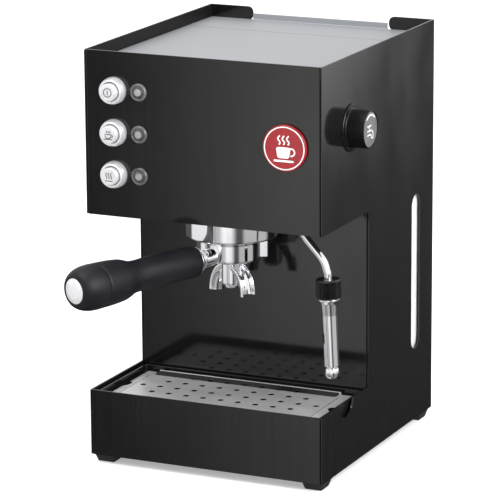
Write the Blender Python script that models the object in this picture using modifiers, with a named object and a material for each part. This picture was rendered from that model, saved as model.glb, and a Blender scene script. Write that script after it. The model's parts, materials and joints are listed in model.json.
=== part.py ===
"""Espresso machine: sheet-metal casing, boiler, pump, water tank, brew group, steam wand and drip tray.

Metres, +Z up. The model is laid out from the centre of the casing's front bottom edge: +X to the right,
+Y to the back, z = 0 at the underside of the casing. At the end the root empty moves it all so that the
origin is at the middle of the base of the whole object's bounding box.
"""

import math

import bmesh
import bpy
from mathutils import Matrix, Vector

# ---- driving dimensions ----
BODY_W = 0.230
BODY_D = 0.263
BODY_H = 0.376
SHEET = 0.0015
GAP = 0.0003
FOOT_H = 0.008
HEAD_BOTTOM = 0.226
BASE_TOP = 0.0615
COLUMN_FRONT = 0.106
TOP_RECESS = 0.012

# ---- casing ----
HALF_W = BODY_W / 2
INNER_X = HALF_W - SHEET
PANEL_HALF = INNER_X - GAP
REAR_Y = BODY_D - SHEET
TAB_LENGTH = 0.045
TAB_H = 0.013
NOTCH_Y, NOTCH_HALF, NOTCH_DEPTH = 0.055, 0.017, 0.014
SLOT_Y, SLOT_Z, SLOT_W, SLOT_H = 0.2205, 0.1435, 0.0205, 0.149
TRAY_TOP_Z = BODY_H - TOP_RECESS
LID_SEAM_Y = 0.205
LID_LIP_H = 0.006
PARTITION_Y = 0.1985

# ---- controls on the front ----
CONTROL_ROWS = {"steam": 0.265, "brew": 0.303, "power": 0.341}
BUTTON_X, LAMP_X = -0.0855, -0.061
CAP_R, CAP_REACH = 0.0079, 0.0133
BEZEL_R, BEZEL_REACH = 0.0122, 0.0092
LAMP_R, LAMP_NECK_R = 0.0080, 0.0055
RUNNING = 0.0004
BADGE_X, BADGE_Z, BADGE_R, BADGE_T = 0.081, 0.303, 0.0207, 0.0035

# ---- steam knob and valve ----
KNOB_Y, KNOB_Z = 0.065, 0.311
KNOB_FLANGE_R, KNOB_R, KNOB_REACH = 0.0215, 0.0172, 0.019
SPINDLE_R = 0.003

# ---- brew group ----
GROUP_Y = 0.061
RING_R, RING_BOTTOM = 0.042, 0.204
HANDLE_SIDE = math.radians(22.0)
HANDLE_DROOP = math.radians(0.8)
HANDLE_Z = 0.188
HANDLE_START, HANDLE_END = 0.0468, 0.187
LUG_START, LUG_SWEEP = 46, 44
SPOUT_BOTTOM = 0.1517
BOSS_R, BOSS_Z = 0.0094, 0.1790
SPOUT_HALF = 0.0215

# ---- steam wand ----
WAND_X, WAND_Y, BALL_Z, BALL_R = 0.078, 0.043, 0.2312, 0.0058
WAND_TUBE_R = 0.0036
WAND_LEAN = math.radians(2.7)
COLLAR_X, COLLAR_Y, COLLAR_Z = 0.1036, 0.040, 0.1786
COLLAR_R, COLLAR_H = 0.0115, 0.0176

# ---- drip area ----
DRIP_HALF_X, DRIP_FRONT, DRIP_BACK = 0.1105, 0.0030, 0.1035
DRIP_BOTTOM, DRIP_TOP = 0.0030, 0.0590
LEDGE_Z = 0.0528
GRILL_HALF_X, GRILL_HALF_Y, GRILL_Y = 0.1043, 0.0460, 0.0515
FIELD_HALF_X, FIELD_HALF_Y = 0.0950, 0.0315
GRILL_T, GRILL_RISE = 0.0012, 0.0014
LIP_HALF_X, LIP_T, LIP_H = 0.092, 0.0010, 0.0014
HOLE_PITCH, HOLE_R = 0.01735, 0.0028
FINGER_R, FINGER_DEPTH = 0.0080, 0.0050
HOLE_ROWS = (7, 9, 11, 9, 7)

# ---- water tank ----
TANK_HALF_X, TANK_FRONT, TANK_BACK = 0.1115, 0.2075, 0.2525
TANK_BOTTOM, TANK_TOP, TANK_WALL = 0.0600, 0.3500, 0.002
TANK_FRONT_R, TANK_REAR_R = 0.008, 0.025
VALVE_Y = 0.230

# ---- boiler, pump and power inlet ----
SPIGOT_R, SPIGOT_BOTTOM = 0.0338, 0.2225
BOILER_R, BOILER_TOP = 0.037, 0.300
FLANGE_Z = HEAD_BOTTOM + SHEET + GAP
PUMP_Y, PUMP_Z, PUMP_R = 0.152, 0.045, 0.020
INLET_X, INLET_Z, INLET_W, INLET_H = 0.060, 0.028, 0.028, 0.021

# ---- facets round a turned piece ----
WIDE, NARROW = 30, 20

FACING_FRONT = (math.pi / 2, 0, 0)
FACING_RIGHT = (0, math.pi / 2, 0)
SIDE_SHEET = (math.pi / 2, 0, math.pi / 2)
UPRIGHT = (0, 0, 0)


# ---- scene and materials ----
def clear_scene():
    for obj in list(bpy.data.objects):
        bpy.data.objects.remove(obj, do_unlink=True)


def new_collection(name):
    made = bpy.data.collections.new(name)
    bpy.context.scene.collection.children.link(made)
    return made


def new_material(name, colour, roughness, metallic, alpha=1.0):
    made = bpy.data.materials.new(name)
    made.use_nodes = True
    shader = made.node_tree.nodes["Principled BSDF"]
    shader.inputs["Base Color"].default_value = (*colour, 1.0)
    shader.inputs["Roughness"].default_value = roughness
    shader.inputs["Metallic"].default_value = metallic
    shader.inputs["Alpha"].default_value = alpha
    return made


def empty(name, location, rotation=UPRIGHT, parent=None):
    made = bpy.data.objects.new(name, None)
    made.location = location
    made.rotation_euler = rotation
    made.parent = parent
    made.empty_display_size = 0.01
    PARTS.objects.link(made)
    return made


# ---- shapes ----
def place(mesh_or_curve, name, location=(0, 0, 0), rotation=UPRIGHT, finish=None, parent=None):
    """A new object: a part when it has a finish, else a cutter or a piece to be joined to one."""
    made = bpy.data.objects.new(name, mesh_or_curve)
    made.location = location
    made.rotation_euler = rotation
    made.parent = parent or ROOT
    if finish:
        mesh_or_curve.materials.append(finish)
        PARTS.objects.link(made)
    else:
        made.hide_render = True
        made.display_type = "WIRE"
        CUTTERS.objects.link(made)
    return made


def mesh_from(shape, name):
    mesh = bpy.data.meshes.new(name)
    shape.to_mesh(mesh)
    shape.free()
    return mesh


def smooth(mesh, angle=35):
    mesh.shade_smooth()
    mesh.set_sharp_from_angle(angle=math.radians(angle))


def block(name, low, high, finish=None, parent=None, bevel=0.0):
    """A box between two corners."""
    shape = bmesh.new()
    bmesh.ops.create_cube(shape, size=1.0)
    size = [h - l for l, h in zip(low, high)]
    bmesh.ops.scale(shape, vec=size, verts=shape.verts)
    middle = [(l + h) / 2 for l, h in zip(low, high)]
    made = place(mesh_from(shape, name), name, middle, finish=finish, parent=parent)
    if bevel:
        rounding = made.modifiers.new("Edges", "BEVEL")
        rounding.width = bevel
        rounding.segments = 1
    return made


def rod(name, radius, start, end, finish=None, parent=None, segments=24, end_radius=None):
    """A cylinder, or a cone, from one point to another."""
    start, end = Vector(start), Vector(end)
    shape = bmesh.new()
    bmesh.ops.create_cone(
        shape,
        cap_ends=True,
        segments=segments,
        radius1=radius,
        radius2=radius if end_radius is None else end_radius,
        depth=(end - start).length,
    )
    turn = (end - start).to_track_quat("Z", "Y").to_euler()
    mesh = mesh_from(shape, name)
    smooth(mesh)
    return place(mesh, name, (start + end) / 2, turn, finish, parent)


def baked(obj):
    """The mesh that the object's modifiers or curve settings make, with its loose caps welded."""
    bpy.context.view_layer.update()
    seen = obj.evaluated_get(bpy.context.evaluated_depsgraph_get())
    mesh = bpy.data.meshes.new_from_object(seen)
    shape = bmesh.new()
    shape.from_mesh(mesh)
    bmesh.ops.remove_doubles(shape, verts=shape.verts, dist=1e-6)
    shape.to_mesh(mesh)
    shape.free()
    return mesh


def turned(name, profile, location, rotation=UPRIGHT, finish=None, parent=None, steps=NARROW):
    """A body turned about its own Z. The profile holds (radius, height) pairs and runs down its outer
    side, from the top. It starts and ends on the axis, or else it is closed into a ring."""
    count = len(profile)
    solid_core = profile[0][0] == 0 and profile[-1][0] == 0
    edges = [(i, i + 1) for i in range(count - 1)]
    if not solid_core:
        edges.append((count - 1, 0))
    line = bpy.data.meshes.new(name)
    line.from_pydata([(radius, 0, height) for radius, height in profile], edges, [])
    guide = place(line, name + "_profile")
    screw = guide.modifiers.new("Turn", "SCREW")
    screw.axis = "Z"
    screw.steps = screw.render_steps = steps
    screw.use_merge_vertices = True
    screw.merge_threshold = 1e-5
    screw.use_smooth_shade = True
    mesh = baked(guide)
    bpy.data.objects.remove(guide)
    smooth(mesh)
    return place(mesh, name, location, rotation, finish, parent)


def sheet(name, outline, thickness, location, rotation, finish=None, parent=None):
    """A flat plate of this outline, centred on its location across its thickness."""
    curve = bpy.data.curves.new(name, "CURVE")
    curve.dimensions = "2D"
    curve.fill_mode = "BOTH"
    curve.extrude = thickness / 2
    line = curve.splines.new("POLY")
    line.points.add(len(outline) - 1)
    for point, (u, v) in zip(line.points, outline):
        point.co = (u, v, 0, 1)
    line.use_cyclic_u = True
    guide = place(curve, name + "_outline")
    mesh = baked(guide)
    bpy.data.objects.remove(guide)
    return place(mesh, name, location, rotation, finish, parent)


def tube(name, route, radius, finish=None, parent=None, sides=2):
    """A round tube along a smooth curve through the route's points."""
    curve = bpy.data.curves.new(name, "CURVE")
    curve.dimensions = "3D"
    curve.bevel_depth = radius
    curve.bevel_resolution = sides
    curve.use_fill_caps = True
    points = smooth_route([Vector(point) for point in route])
    line = curve.splines.new("POLY")
    line.points.add(len(points) - 1)
    for point, place_at in zip(line.points, points):
        point.co = (*place_at, 1)
    guide = place(curve, name + "_route")
    mesh = baked(guide)
    bpy.data.objects.remove(guide)
    smooth(mesh, 50)
    return place(mesh, name, finish=finish, parent=parent)


def smooth_route(points, steps=2):
    """Points on a Catmull-Rom curve through the given ones."""
    padded = [2 * points[0] - points[1], *points, 2 * points[-1] - points[-2]]
    found = []
    for a, b, c, d in zip(padded, padded[1:], padded[2:], padded[3:]):
        for step in range(steps):
            t = step / steps
            bend = 2 * a - 5 * b + 4 * c - d
            twist = 3 * b - a - 3 * c + d
            found.append(0.5 * (2 * b + (c - a) * t + bend * t**2 + twist * t**3))
    return [*found, points[-1]]


def arc(centre, radius, start, end, steps):
    """Points on an arc, with angles in degrees."""
    angles = [math.radians(start + (end - start) * i / steps) for i in range(steps + 1)]
    return [(centre[0] + radius * math.cos(a), centre[1] + radius * math.sin(a)) for a in angles]


def rounded_rect(width, height, radius, steps=4):
    """The outline of a rectangle about the origin with round corners."""
    u, v = width / 2 - radius, height / 2 - radius
    corners = [((u, v), 0), ((-u, v), 90), ((-u, -v), 180), ((u, -v), 270)]
    outline = []
    for centre, start in corners:
        outline += arc(centre, radius, start, start + 90, steps)
    return outline


def boolean(obj, other, operation):
    step = obj.modifiers.new(operation.title() + "_" + other.name, "BOOLEAN")
    step.operation = operation
    step.solver = "EXACT"
    step.object = other


def cut(obj, *cutters):
    for cutter in cutters:
        boolean(obj, cutter, "DIFFERENCE")


def join(obj, *others):
    for other in others:
        boolean(obj, other, "UNION")


# ---- casing ----
def side_panel(side, finish):
    """A C-shaped sheet: the head, the column and the base, with a tab round the back corner. The right
    one also has a finger notch beside the drip tray."""
    name = "right_side_panel" if side > 0 else "left_side_panel"
    notch = []
    if side > 0:
        middle = (NOTCH_Y, BASE_TOP - NOTCH_DEPTH + NOTCH_HALF)
        notch = [(NOTCH_Y - NOTCH_HALF, BASE_TOP), *arc(middle, NOTCH_HALF, 190, 350, 10),
                 (NOTCH_Y + NOTCH_HALF, BASE_TOP)]
    outline = [
        (0, HEAD_BOTTOM),
        (0, BODY_H),
        (BODY_D, BODY_H),
        (BODY_D, 0),
        (0, 0),
        (0, BASE_TOP),
        *notch,
        (COLUMN_FRONT, BASE_TOP),
        (COLUMN_FRONT, HEAD_BOTTOM),
    ]
    panel = sheet(name, outline, SHEET, (side * (HALF_W - SHEET / 2), 0, 0), SIDE_SHEET, finish)
    free_end = HALF_W - TAB_LENGTH
    radius = TAB_H / 2 - GAP
    tab = [
        (HALF_W - SHEET / 2, BODY_H),
        *arc((free_end + radius, BODY_H - radius), radius, 90, 180, 4),
        *arc((free_end + radius, BODY_H - TAB_H + radius), radius, 180, 270, 4),
        (HALF_W - SHEET / 2, BODY_H - TAB_H),
    ]
    tab = [(side * u, v) for u, v in tab]
    join(panel, sheet(name + "_tab", tab, SHEET, (0, BODY_D - SHEET / 2, 0), FACING_FRONT))
    return panel


def casing(black, steel, rubber):
    side_panel(-1, black)
    right = side_panel(1, black)
    reach = 4 * SHEET
    slot = rounded_rect(SLOT_W, SLOT_H, SLOT_W / 2 - GAP, 5)
    cut(right, sheet("level_slot", slot, reach, (HALF_W, SLOT_Y, SLOT_Z), SIDE_SHEET))
    cut(right, rod("knob_hole", SPINDLE_R + 0.001, (INNER_X - reach, KNOB_Y, KNOB_Z),
                   (HALF_W + reach, KNOB_Y, KNOB_Z)))

    front = block("upper_front_panel", (-PANEL_HALF, 0, HEAD_BOTTOM),
                  (PANEL_HALF, SHEET, BODY_H), black)
    for row, z in CONTROL_ROWS.items():
        cut(front, rod(row + "_button_hole", CAP_R + 2 * RUNNING, (BUTTON_X, -reach, z),
                       (BUTTON_X, reach, z)))
        cut(front, rod(row + "_lamp_hole", LAMP_NECK_R + GAP, (LAMP_X, -reach, z), (LAMP_X, reach, z),
                       segments=16))
    block("base_front_panel", (-PANEL_HALF, 0, 0), (PANEL_HALF, SHEET, BASE_TOP), black)
    column_y = COLUMN_FRONT + SHEET
    block("column_front_plate", (-PANEL_HALF, COLUMN_FRONT, 2 * SHEET),
          (PANEL_HALF, column_y, HEAD_BOTTOM - GAP), black)
    underside = block("head_underside_plate", (-PANEL_HALF, SHEET + GAP, HEAD_BOTTOM),
                      (PANEL_HALF, column_y, HEAD_BOTTOM + SHEET), black)
    cut(underside, rod("group_hole", SPIGOT_R + 0.0008, (0, GROUP_Y, HEAD_BOTTOM - reach),
                       (0, GROUP_Y, HEAD_BOTTOM + reach), segments=32))
    cut(underside, rod("wand_hole", BALL_R + 0.0012, (WAND_X, WAND_Y, HEAD_BOTTOM - reach),
                       (WAND_X, WAND_Y, HEAD_BOTTOM + reach), segments=16))
    rear = block("rear_panel", (-PANEL_HALF, REAR_Y, SHEET + GAP),
                 (PANEL_HALF, BODY_D, BODY_H - TAB_H - GAP), black)
    half_w, half_h = INLET_W / 2 + GAP, INLET_H / 2 + GAP
    cut(rear, block("inlet_hole", (INLET_X - half_w, REAR_Y - reach, INLET_Z - half_h),
                    (INLET_X + half_w, BODY_D + reach, INLET_Z + half_h)))
    block("base_plate", (-PANEL_HALF, SHEET + GAP, 0), (PANEL_HALF, BODY_D, SHEET), black)
    block("bay_partition", (-PANEL_HALF, PARTITION_Y, 0.030),
          (PANEL_HALF, PARTITION_Y + SHEET, TRAY_TOP_Z - 0.010), black)

    tray = block("cup_tray", (-PANEL_HALF, SHEET + GAP, TRAY_TOP_Z - 0.008),
                 (PANEL_HALF, LID_SEAM_Y - GAP, TRAY_TOP_Z), steel)
    cut(tray, block("cup_tray_hollow", (SHEET - PANEL_HALF, 2 * SHEET + GAP, TRAY_TOP_Z - 0.012),
                    (PANEL_HALF - SHEET, LID_SEAM_Y - SHEET - GAP, TRAY_TOP_Z - SHEET)))

    inset = 0.0115
    for end, y in (("front", inset + 0.0035), ("rear", BODY_D - inset - 0.0035)):
        for side, x in (("left", inset - HALF_W), ("right", HALF_W - inset)):
            foot(f"{end}_{side}_foot", x, y, rubber)


def foot(name, x, y, finish):
    """A truncated pyramid, wide end up."""
    shape = bmesh.new()
    top, bottom = 0.022, 0.016
    bmesh.ops.create_cone(shape, cap_ends=True, segments=4, radius1=bottom / math.sqrt(2),
                          radius2=top / math.sqrt(2), depth=FOOT_H - GAP)
    bmesh.ops.rotate(shape, verts=shape.verts, matrix=Matrix.Rotation(math.radians(45), 3, "Z"))
    made = place(mesh_from(shape, name), name, (x, y, -(FOOT_H + GAP) / 2), finish=finish)
    rounding = made.modifiers.new("Edges", "BEVEL")
    rounding.width = 0.0012
    rounding.segments = 1


# ---- controls ----
def control_row(row, z, finishes):
    """A push button in its domed bezel, the lamp beside it and the switch behind the panel."""
    silver, bright, lens, plastic = finishes
    bore = CAP_R + RUNNING
    bezel = [
        (bore, BEZEL_REACH - 0.0020),
        (bore + 0.0009, BEZEL_REACH - 0.0006),
        (bore + 0.0018, BEZEL_REACH),
        (bore + 0.0027, BEZEL_REACH - 0.0008),
        (BEZEL_R - 0.0004, BEZEL_REACH - 0.0030),
        (BEZEL_R, 0.0030),
        (BEZEL_R, GAP),
        (bore, GAP),
    ]
    turned(row + "_bezel", bezel, (BUTTON_X, 0, z), FACING_FRONT, silver)
    pivot = empty(row + "_button_axis", (BUTTON_X, 0, z), FACING_FRONT, ROOT)
    cap = [
        (0, CAP_REACH),
        (CAP_R - 0.0014, CAP_REACH),
        (CAP_R - 0.0004, CAP_REACH - 0.0004),
        (CAP_R, CAP_REACH - 0.0014),
        (CAP_R, 0.0020),
        (0, 0.0020),
    ]
    turned(row + "_button", cap, (0, 0, 0), UPRIGHT, bright, pivot)
    half = 0.0105
    block(row + "_switch", (BUTTON_X - half, 0.0055, z - half),
          (BUTTON_X + half, 0.031, z + half), plastic)
    lamp = [
        (0, 0.0038),
        (0.0040, 0.0034),
        (0.0066, 0.0024),
        (LAMP_R, 0.0014),
        (LAMP_R, GAP),
        (LAMP_NECK_R, GAP),
        (LAMP_NECK_R, -0.014),
        (0, -0.014),
    ]
    turned(row + "_lamp", lamp, (LAMP_X, 0, z), FACING_FRONT, lens, steps=16)


def controls(finishes, enamel):
    for row, z in CONTROL_ROWS.items():
        control_row(row, z, finishes)
    face = [
        (0, BADGE_T),
        (BADGE_R - 0.0012, BADGE_T),
        (BADGE_R, BADGE_T - 0.0012),
        (BADGE_R, GAP),
        (0, GAP),
    ]
    turned("badge", face, (BADGE_X, 0, BADGE_Z), FACING_FRONT, enamel, steps=WIDE)


def steam_control(plastic, grey, brass):
    """The knob on the right side, with its spindle, and the valve that it opens."""
    axis = empty("steam_knob_axis", (HALF_W, KNOB_Y, KNOB_Z), FACING_RIGHT, ROOT)
    recess = 0.0012
    face_r = KNOB_R - 0.0011
    pocket = KNOB_REACH - recess - 0.001
    knob = [
        (0, pocket),
        (face_r, pocket),
        (face_r, KNOB_REACH),
        (KNOB_R - 0.0005, KNOB_REACH),
        (KNOB_R, KNOB_REACH - 0.0005),
        (KNOB_R, 0.0018),
        (KNOB_FLANGE_R - 0.0006, 0.0016),
        (KNOB_FLANGE_R, 0.0010),
        (KNOB_FLANGE_R, GAP),
        (SPINDLE_R + GAP, GAP),
        (SPINDLE_R + GAP, 0.010),
        (0, 0.010),
    ]
    turned("steam_knob", knob, (0, 0, 0), UPRIGHT, plastic, axis, steps=WIDE)
    insert = [
        (0, pocket + 0.0018),
        (face_r - GAP, pocket + 0.0014),
        (face_r - GAP, pocket + GAP),
        (0, pocket + GAP),
    ]
    turned("knob_insert", insert, (0, 0, 0), UPRIGHT, grey, axis, steps=24)
    valve_face = -0.029
    turned("valve_spindle",
           [(0, 0.0097), (SPINDLE_R, 0.0097), (SPINDLE_R, valve_face - 0.012), (0, valve_face - 0.012)],
           (0, 0, 0), UPRIGHT, brass, axis, steps=16)

    right, left = HALF_W + valve_face, HALF_W + valve_face - 0.034
    valve = block("steam_valve", (left, KNOB_Y - 0.011, KNOB_Z - 0.012),
                  (right, KNOB_Y + 0.011, KNOB_Z + 0.012), brass, bevel=0.001)
    stem_top = KNOB_Z - 0.006
    join(valve,
         block("valve_foot", (WAND_X - 0.008, WAND_Y - 0.007, KNOB_Z - 0.0165),
               (WAND_X + 0.008, KNOB_Y, KNOB_Z - 0.0045)),
         rod("valve_stem", 0.0062, (WAND_X, WAND_Y, BALL_Z + BALL_R),
             (WAND_X, WAND_Y, stem_top), segments=16),
         rod("ball_socket", 0.0105, (WAND_X, WAND_Y, HEAD_BOTTOM + SHEET + GAP),
             (WAND_X, WAND_Y, BALL_Z + BALL_R + 0.004), segments=20))
    cut(valve,
        rod("ball_room", BALL_R + 0.0006, (WAND_X, WAND_Y, HEAD_BOTTOM),
            (WAND_X, WAND_Y, BALL_Z + BALL_R + 0.001), segments=20),
        rod("spindle_bore", SPINDLE_R + GAP, (right - 0.014, KNOB_Y, KNOB_Z),
            (right + 0.01, KNOB_Y, KNOB_Z)))


# ---- boiler, pump and water ----
def boiler(alloy, steel, plastic, copper):
    screw_r = 0.0023
    body = [
        (0, BOILER_TOP),
        (0.031, BOILER_TOP - 0.0005),
        (BOILER_R, BOILER_TOP - 0.0065),
        (BOILER_R, FLANGE_Z + 0.010),
        (0.046, FLANGE_Z + 0.009),
        (0.046, FLANGE_Z),
        (SPIGOT_R, FLANGE_Z),
        (SPIGOT_R, SPIGOT_BOTTOM),
        (screw_r, SPIGOT_BOTTOM),
        (screw_r, SPIGOT_BOTTOM + 0.008),
        (0, SPIGOT_BOTTOM + 0.008),
    ]
    turned("boiler", body, (0, GROUP_Y, 0), finish=alloy, steps=WIDE)
    band_low, band_high = 0.246, 0.284
    band = turned("heater_band",
                  [(BOILER_R + GAP, band_high), (0.0405, band_high), (0.0405, band_low),
                   (BOILER_R + GAP, band_low)],
                  (0, GROUP_Y, 0), finish=steel, steps=WIDE)
    for name, z in (("upper_terminal", 0.276), ("lower_terminal", 0.254)):
        join(band, block(name, (-0.052, GROUP_Y - 0.003, z - 0.002),
                         (-0.0395, GROUP_Y + 0.003, z + 0.002)))
    top = BOILER_TOP + GAP
    thermostat = rod("thermostat", 0.0085, (-0.014, GROUP_Y - 0.010, top),
                     (-0.014, GROUP_Y - 0.010, top + 0.008), plastic, segments=20)
    join(thermostat, block("thermostat_tabs", (-0.017, GROUP_Y - 0.0105, top + 0.006),
                           (-0.011, GROUP_Y - 0.0095, top + 0.015)))

    pipe_r = 0.0025
    valve_left = HALF_W - 0.029 - 0.034
    tube("steam_pipe",
         [(0.012, GROUP_Y, top), (0.012, GROUP_Y, top + 0.008),
          (0.020, GROUP_Y + 0.001, KNOB_Z + 0.006), (0.036, KNOB_Y, KNOB_Z + 0.002),
          (valve_left - GAP, KNOB_Y, KNOB_Z)],
         pipe_r, copper)
    tube("pressure_pipe",
         [(0.056, PUMP_Y, PUMP_Z), (0.063, PUMP_Y, PUMP_Z), (0.070, PUMP_Y, PUMP_Z + 0.010),
          (0.071, PUMP_Y, PUMP_Z + 0.040), (0.066, PUMP_Y - 0.006, 0.150),
          (0.050, PUMP_Y - 0.012, 0.230), (0.030, PUMP_Y - 0.030, 0.300),
          (0.004, GROUP_Y + 0.030, 0.318), (-0.008, GROUP_Y + 0.014, 0.314),
          (-0.010, GROUP_Y + 0.012, top)],
         pipe_r, copper)


def pump(plastic, steel, hose):
    """A vibration pump lying across the column, in its bracket."""
    half = 0.038
    body = rod("pump", PUMP_R, (-half, PUMP_Y, PUMP_Z), (half, PUMP_Y, PUMP_Z), plastic, segments=24)
    join(body,
         rod("pump_inlet", 0.006, (-0.055, PUMP_Y, PUMP_Z),
             (-half + 0.002, PUMP_Y, PUMP_Z), segments=16),
         rod("pump_outlet", 0.007, (half - 0.002, PUMP_Y, PUMP_Z),
             (0.055, PUMP_Y, PUMP_Z), segments=16))
    reach = PUMP_R + 0.003
    bracket = block("pump_bracket", (-0.016, PUMP_Y - reach, SHEET + GAP),
                    (0.016, PUMP_Y + reach, PUMP_Z), steel)
    cut(bracket, rod("pump_cradle", PUMP_R + GAP, (-0.03, PUMP_Y, PUMP_Z),
                     (0.03, PUMP_Y, PUMP_Z), segments=24))
    tube("suction_hose",
         [(0, VALVE_Y, 0.0394), (0, VALVE_Y, 0.032),
          (-0.004, VALVE_Y - 0.004, 0.022), (-0.016, VALVE_Y - 0.018, 0.014),
          (-0.044, 0.185, 0.012), (-0.070, 0.166, 0.020), (-0.076, PUMP_Y + 0.003, 0.036),
          (-0.067, PUMP_Y, PUMP_Z), (-0.056, PUMP_Y, PUMP_Z)],
         0.0040, hose)


def tank_outline(inset):
    """The tank from above, with large round corners at its back, drawn in from its outside by inset."""
    half_x = TANK_HALF_X - inset
    front, back = TANK_FRONT + inset, TANK_BACK - inset
    front_r, rear_r = TANK_FRONT_R - inset, TANK_REAR_R - inset
    return [
        *arc((half_x - rear_r, back - rear_r), rear_r, 0, 90, 6),
        *arc((rear_r - half_x, back - rear_r), rear_r, 90, 180, 6),
        *arc((front_r - half_x, front + front_r), front_r, 180, 270, 4),
        *arc((half_x - front_r, front + front_r), front_r, 270, 360, 4),
    ]


def water_tank(clear, plastic, steel):
    middle_y = (TANK_FRONT + TANK_BACK) / 2
    middle_z = (TANK_BOTTOM + TANK_TOP) / 2
    wall = TANK_WALL
    height = TANK_TOP - TANK_BOTTOM
    tank = sheet("water_tank", tank_outline(0), height, (0, 0, middle_z), UPRIGHT, clear)
    valve_r = 0.004
    cut(tank,
        sheet("tank_hollow", tank_outline(wall), height, (0, 0, middle_z + wall), UPRIGHT),
        rod("valve_hole", valve_r + GAP, (0, VALVE_Y, TANK_BOTTOM - 0.01),
            (0, VALVE_Y, TANK_BOTTOM + 0.01), segments=16))
    boss_top = TANK_BOTTOM - 0.0017
    turned("tank_valve",
           [(0, 0.0100), (valve_r, 0.0090), (valve_r, -GAP), (0.010, -GAP),
            (0.010, -0.0014), (0, -0.0014)],
           (0, VALVE_Y, TANK_BOTTOM), finish=plastic, steps=16)
    socket = block("tank_socket", (-0.098, TANK_FRONT - 0.003, 0.0500), (0.098, 0.256, 0.0530), plastic)
    for side in (-1, 1):
        x = side * 0.096
        join(socket, block(f"platform_leg_{side}", (x - 0.002, TANK_FRONT - 0.003, SHEET + GAP),
                           (x + 0.002, 0.256, 0.0510)))
    join(socket,
         rod("socket_boss", 0.016, (0, VALVE_Y, 0.0520), (0, VALVE_Y, boss_top), segments=24),
         rod("socket_nipple", 0.005, (0, VALVE_Y, 0.0400), (0, VALVE_Y, 0.0510), segments=16))

    lid = block("tank_lid", (-PANEL_HALF, LID_SEAM_Y + GAP, TRAY_TOP_Z - SHEET),
                (PANEL_HALF, REAR_Y - GAP, TRAY_TOP_Z), steel)
    lip_half = HALF_W - TAB_LENGTH - 0.001
    rim_x = TANK_HALF_X - TANK_REAR_R - 0.0015
    rim_y = (TANK_BACK - TANK_FRONT) / 2 - wall - 0.0025
    join(lid,
         block("lid_lip", (-lip_half, REAR_Y - GAP - SHEET, TRAY_TOP_Z - SHEET),
               (lip_half, REAR_Y - GAP, TRAY_TOP_Z + LID_LIP_H)),
         block("lid_plug", (-rim_x, middle_y - rim_y, TANK_TOP - 0.004),
               (rim_x, middle_y + rim_y, TRAY_TOP_Z - GAP)))
    cut(lid, block("lid_plug_hollow", (-rim_x + wall, middle_y - rim_y + wall, TANK_TOP - 0.010),
                   (rim_x - wall, middle_y + rim_y - wall, TRAY_TOP_Z - SHEET)))


def power_inlet(plastic):
    """The mains socket: a flanged shell with a pocket for the plug."""
    half_w, half_h = INLET_W / 2, INLET_H / 2
    inlet = block("power_inlet", (INLET_X - half_w, BODY_D - 0.022, INLET_Z - half_h),
                  (INLET_X + half_w, BODY_D + 0.002, INLET_Z + half_h), plastic)
    rim = 0.0025
    join(inlet, block("inlet_flange", (INLET_X - half_w - rim, BODY_D + GAP, INLET_Z - half_h - rim),
                      (INLET_X + half_w + rim, BODY_D + 0.002, INLET_Z + half_h + rim)))
    cut(inlet, block("inlet_pocket", (INLET_X - half_w + rim, BODY_D - 0.016, INLET_Z - half_h + rim),
                     (INLET_X + half_w - rim, BODY_D + 0.01, INLET_Z + half_h - rim)))
    for i, (dx, dz) in enumerate(((-0.007, -0.002), (0, 0.002), (0.007, -0.002))):
        x, z = INLET_X + dx, INLET_Z + dz
        join(inlet, block(f"inlet_pin_{i}", (x - 0.001, BODY_D - 0.017, z - 0.002),
                          (x + 0.001, BODY_D - 0.003, z + 0.002)))


# ---- brew group ----
def brew_group(chrome, steel, rubber):
    room_r, lip_r = 0.0385, 0.0345
    ring = [
        (0.0350, HEAD_BOTTOM - GAP),
        (RING_R, HEAD_BOTTOM - GAP),
        (RING_R, RING_BOTTOM + 0.0015),
        (RING_R - 0.0015, RING_BOTTOM),
        (lip_r, RING_BOTTOM),
        (lip_r, RING_BOTTOM + 0.005),
        (room_r, RING_BOTTOM + 0.005),
        (room_r, 0.2165),
        (0.0350, 0.2175),
    ]
    turned("group_ring", ring, (0, GROUP_Y, 0), finish=chrome, steps=36)
    gasket_top = SPIGOT_BOTTOM - GAP
    gasket_low = 0.2190
    turned("group_gasket",
           [(0.0242, gasket_top), (0.0344, gasket_top), (0.0344, gasket_low), (0.0242, gasket_low)],
           (0, GROUP_Y, 0), finish=rubber, steps=24)
    turned("shower_screen",
           [(0.0024, gasket_top - 0.001), (0.0225, gasket_top - 0.001), (0.0225, gasket_top),
            (0.0237, gasket_top), (0.0237, gasket_top - 0.0018), (0.0024, gasket_top - 0.0018)],
           (0, GROUP_Y, 0), finish=steel, steps=24)
    head = gasket_top - 0.0018 - GAP
    turned("screen_screw",
           [(0, SPIGOT_BOTTOM + 0.006), (0.0020, SPIGOT_BOTTOM + 0.006), (0.0020, head), (0.0040, head),
            (0.0036, head - 0.0016), (0, head - 0.0016)],
           (0, GROUP_Y, 0), finish=steel, steps=16)


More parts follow.
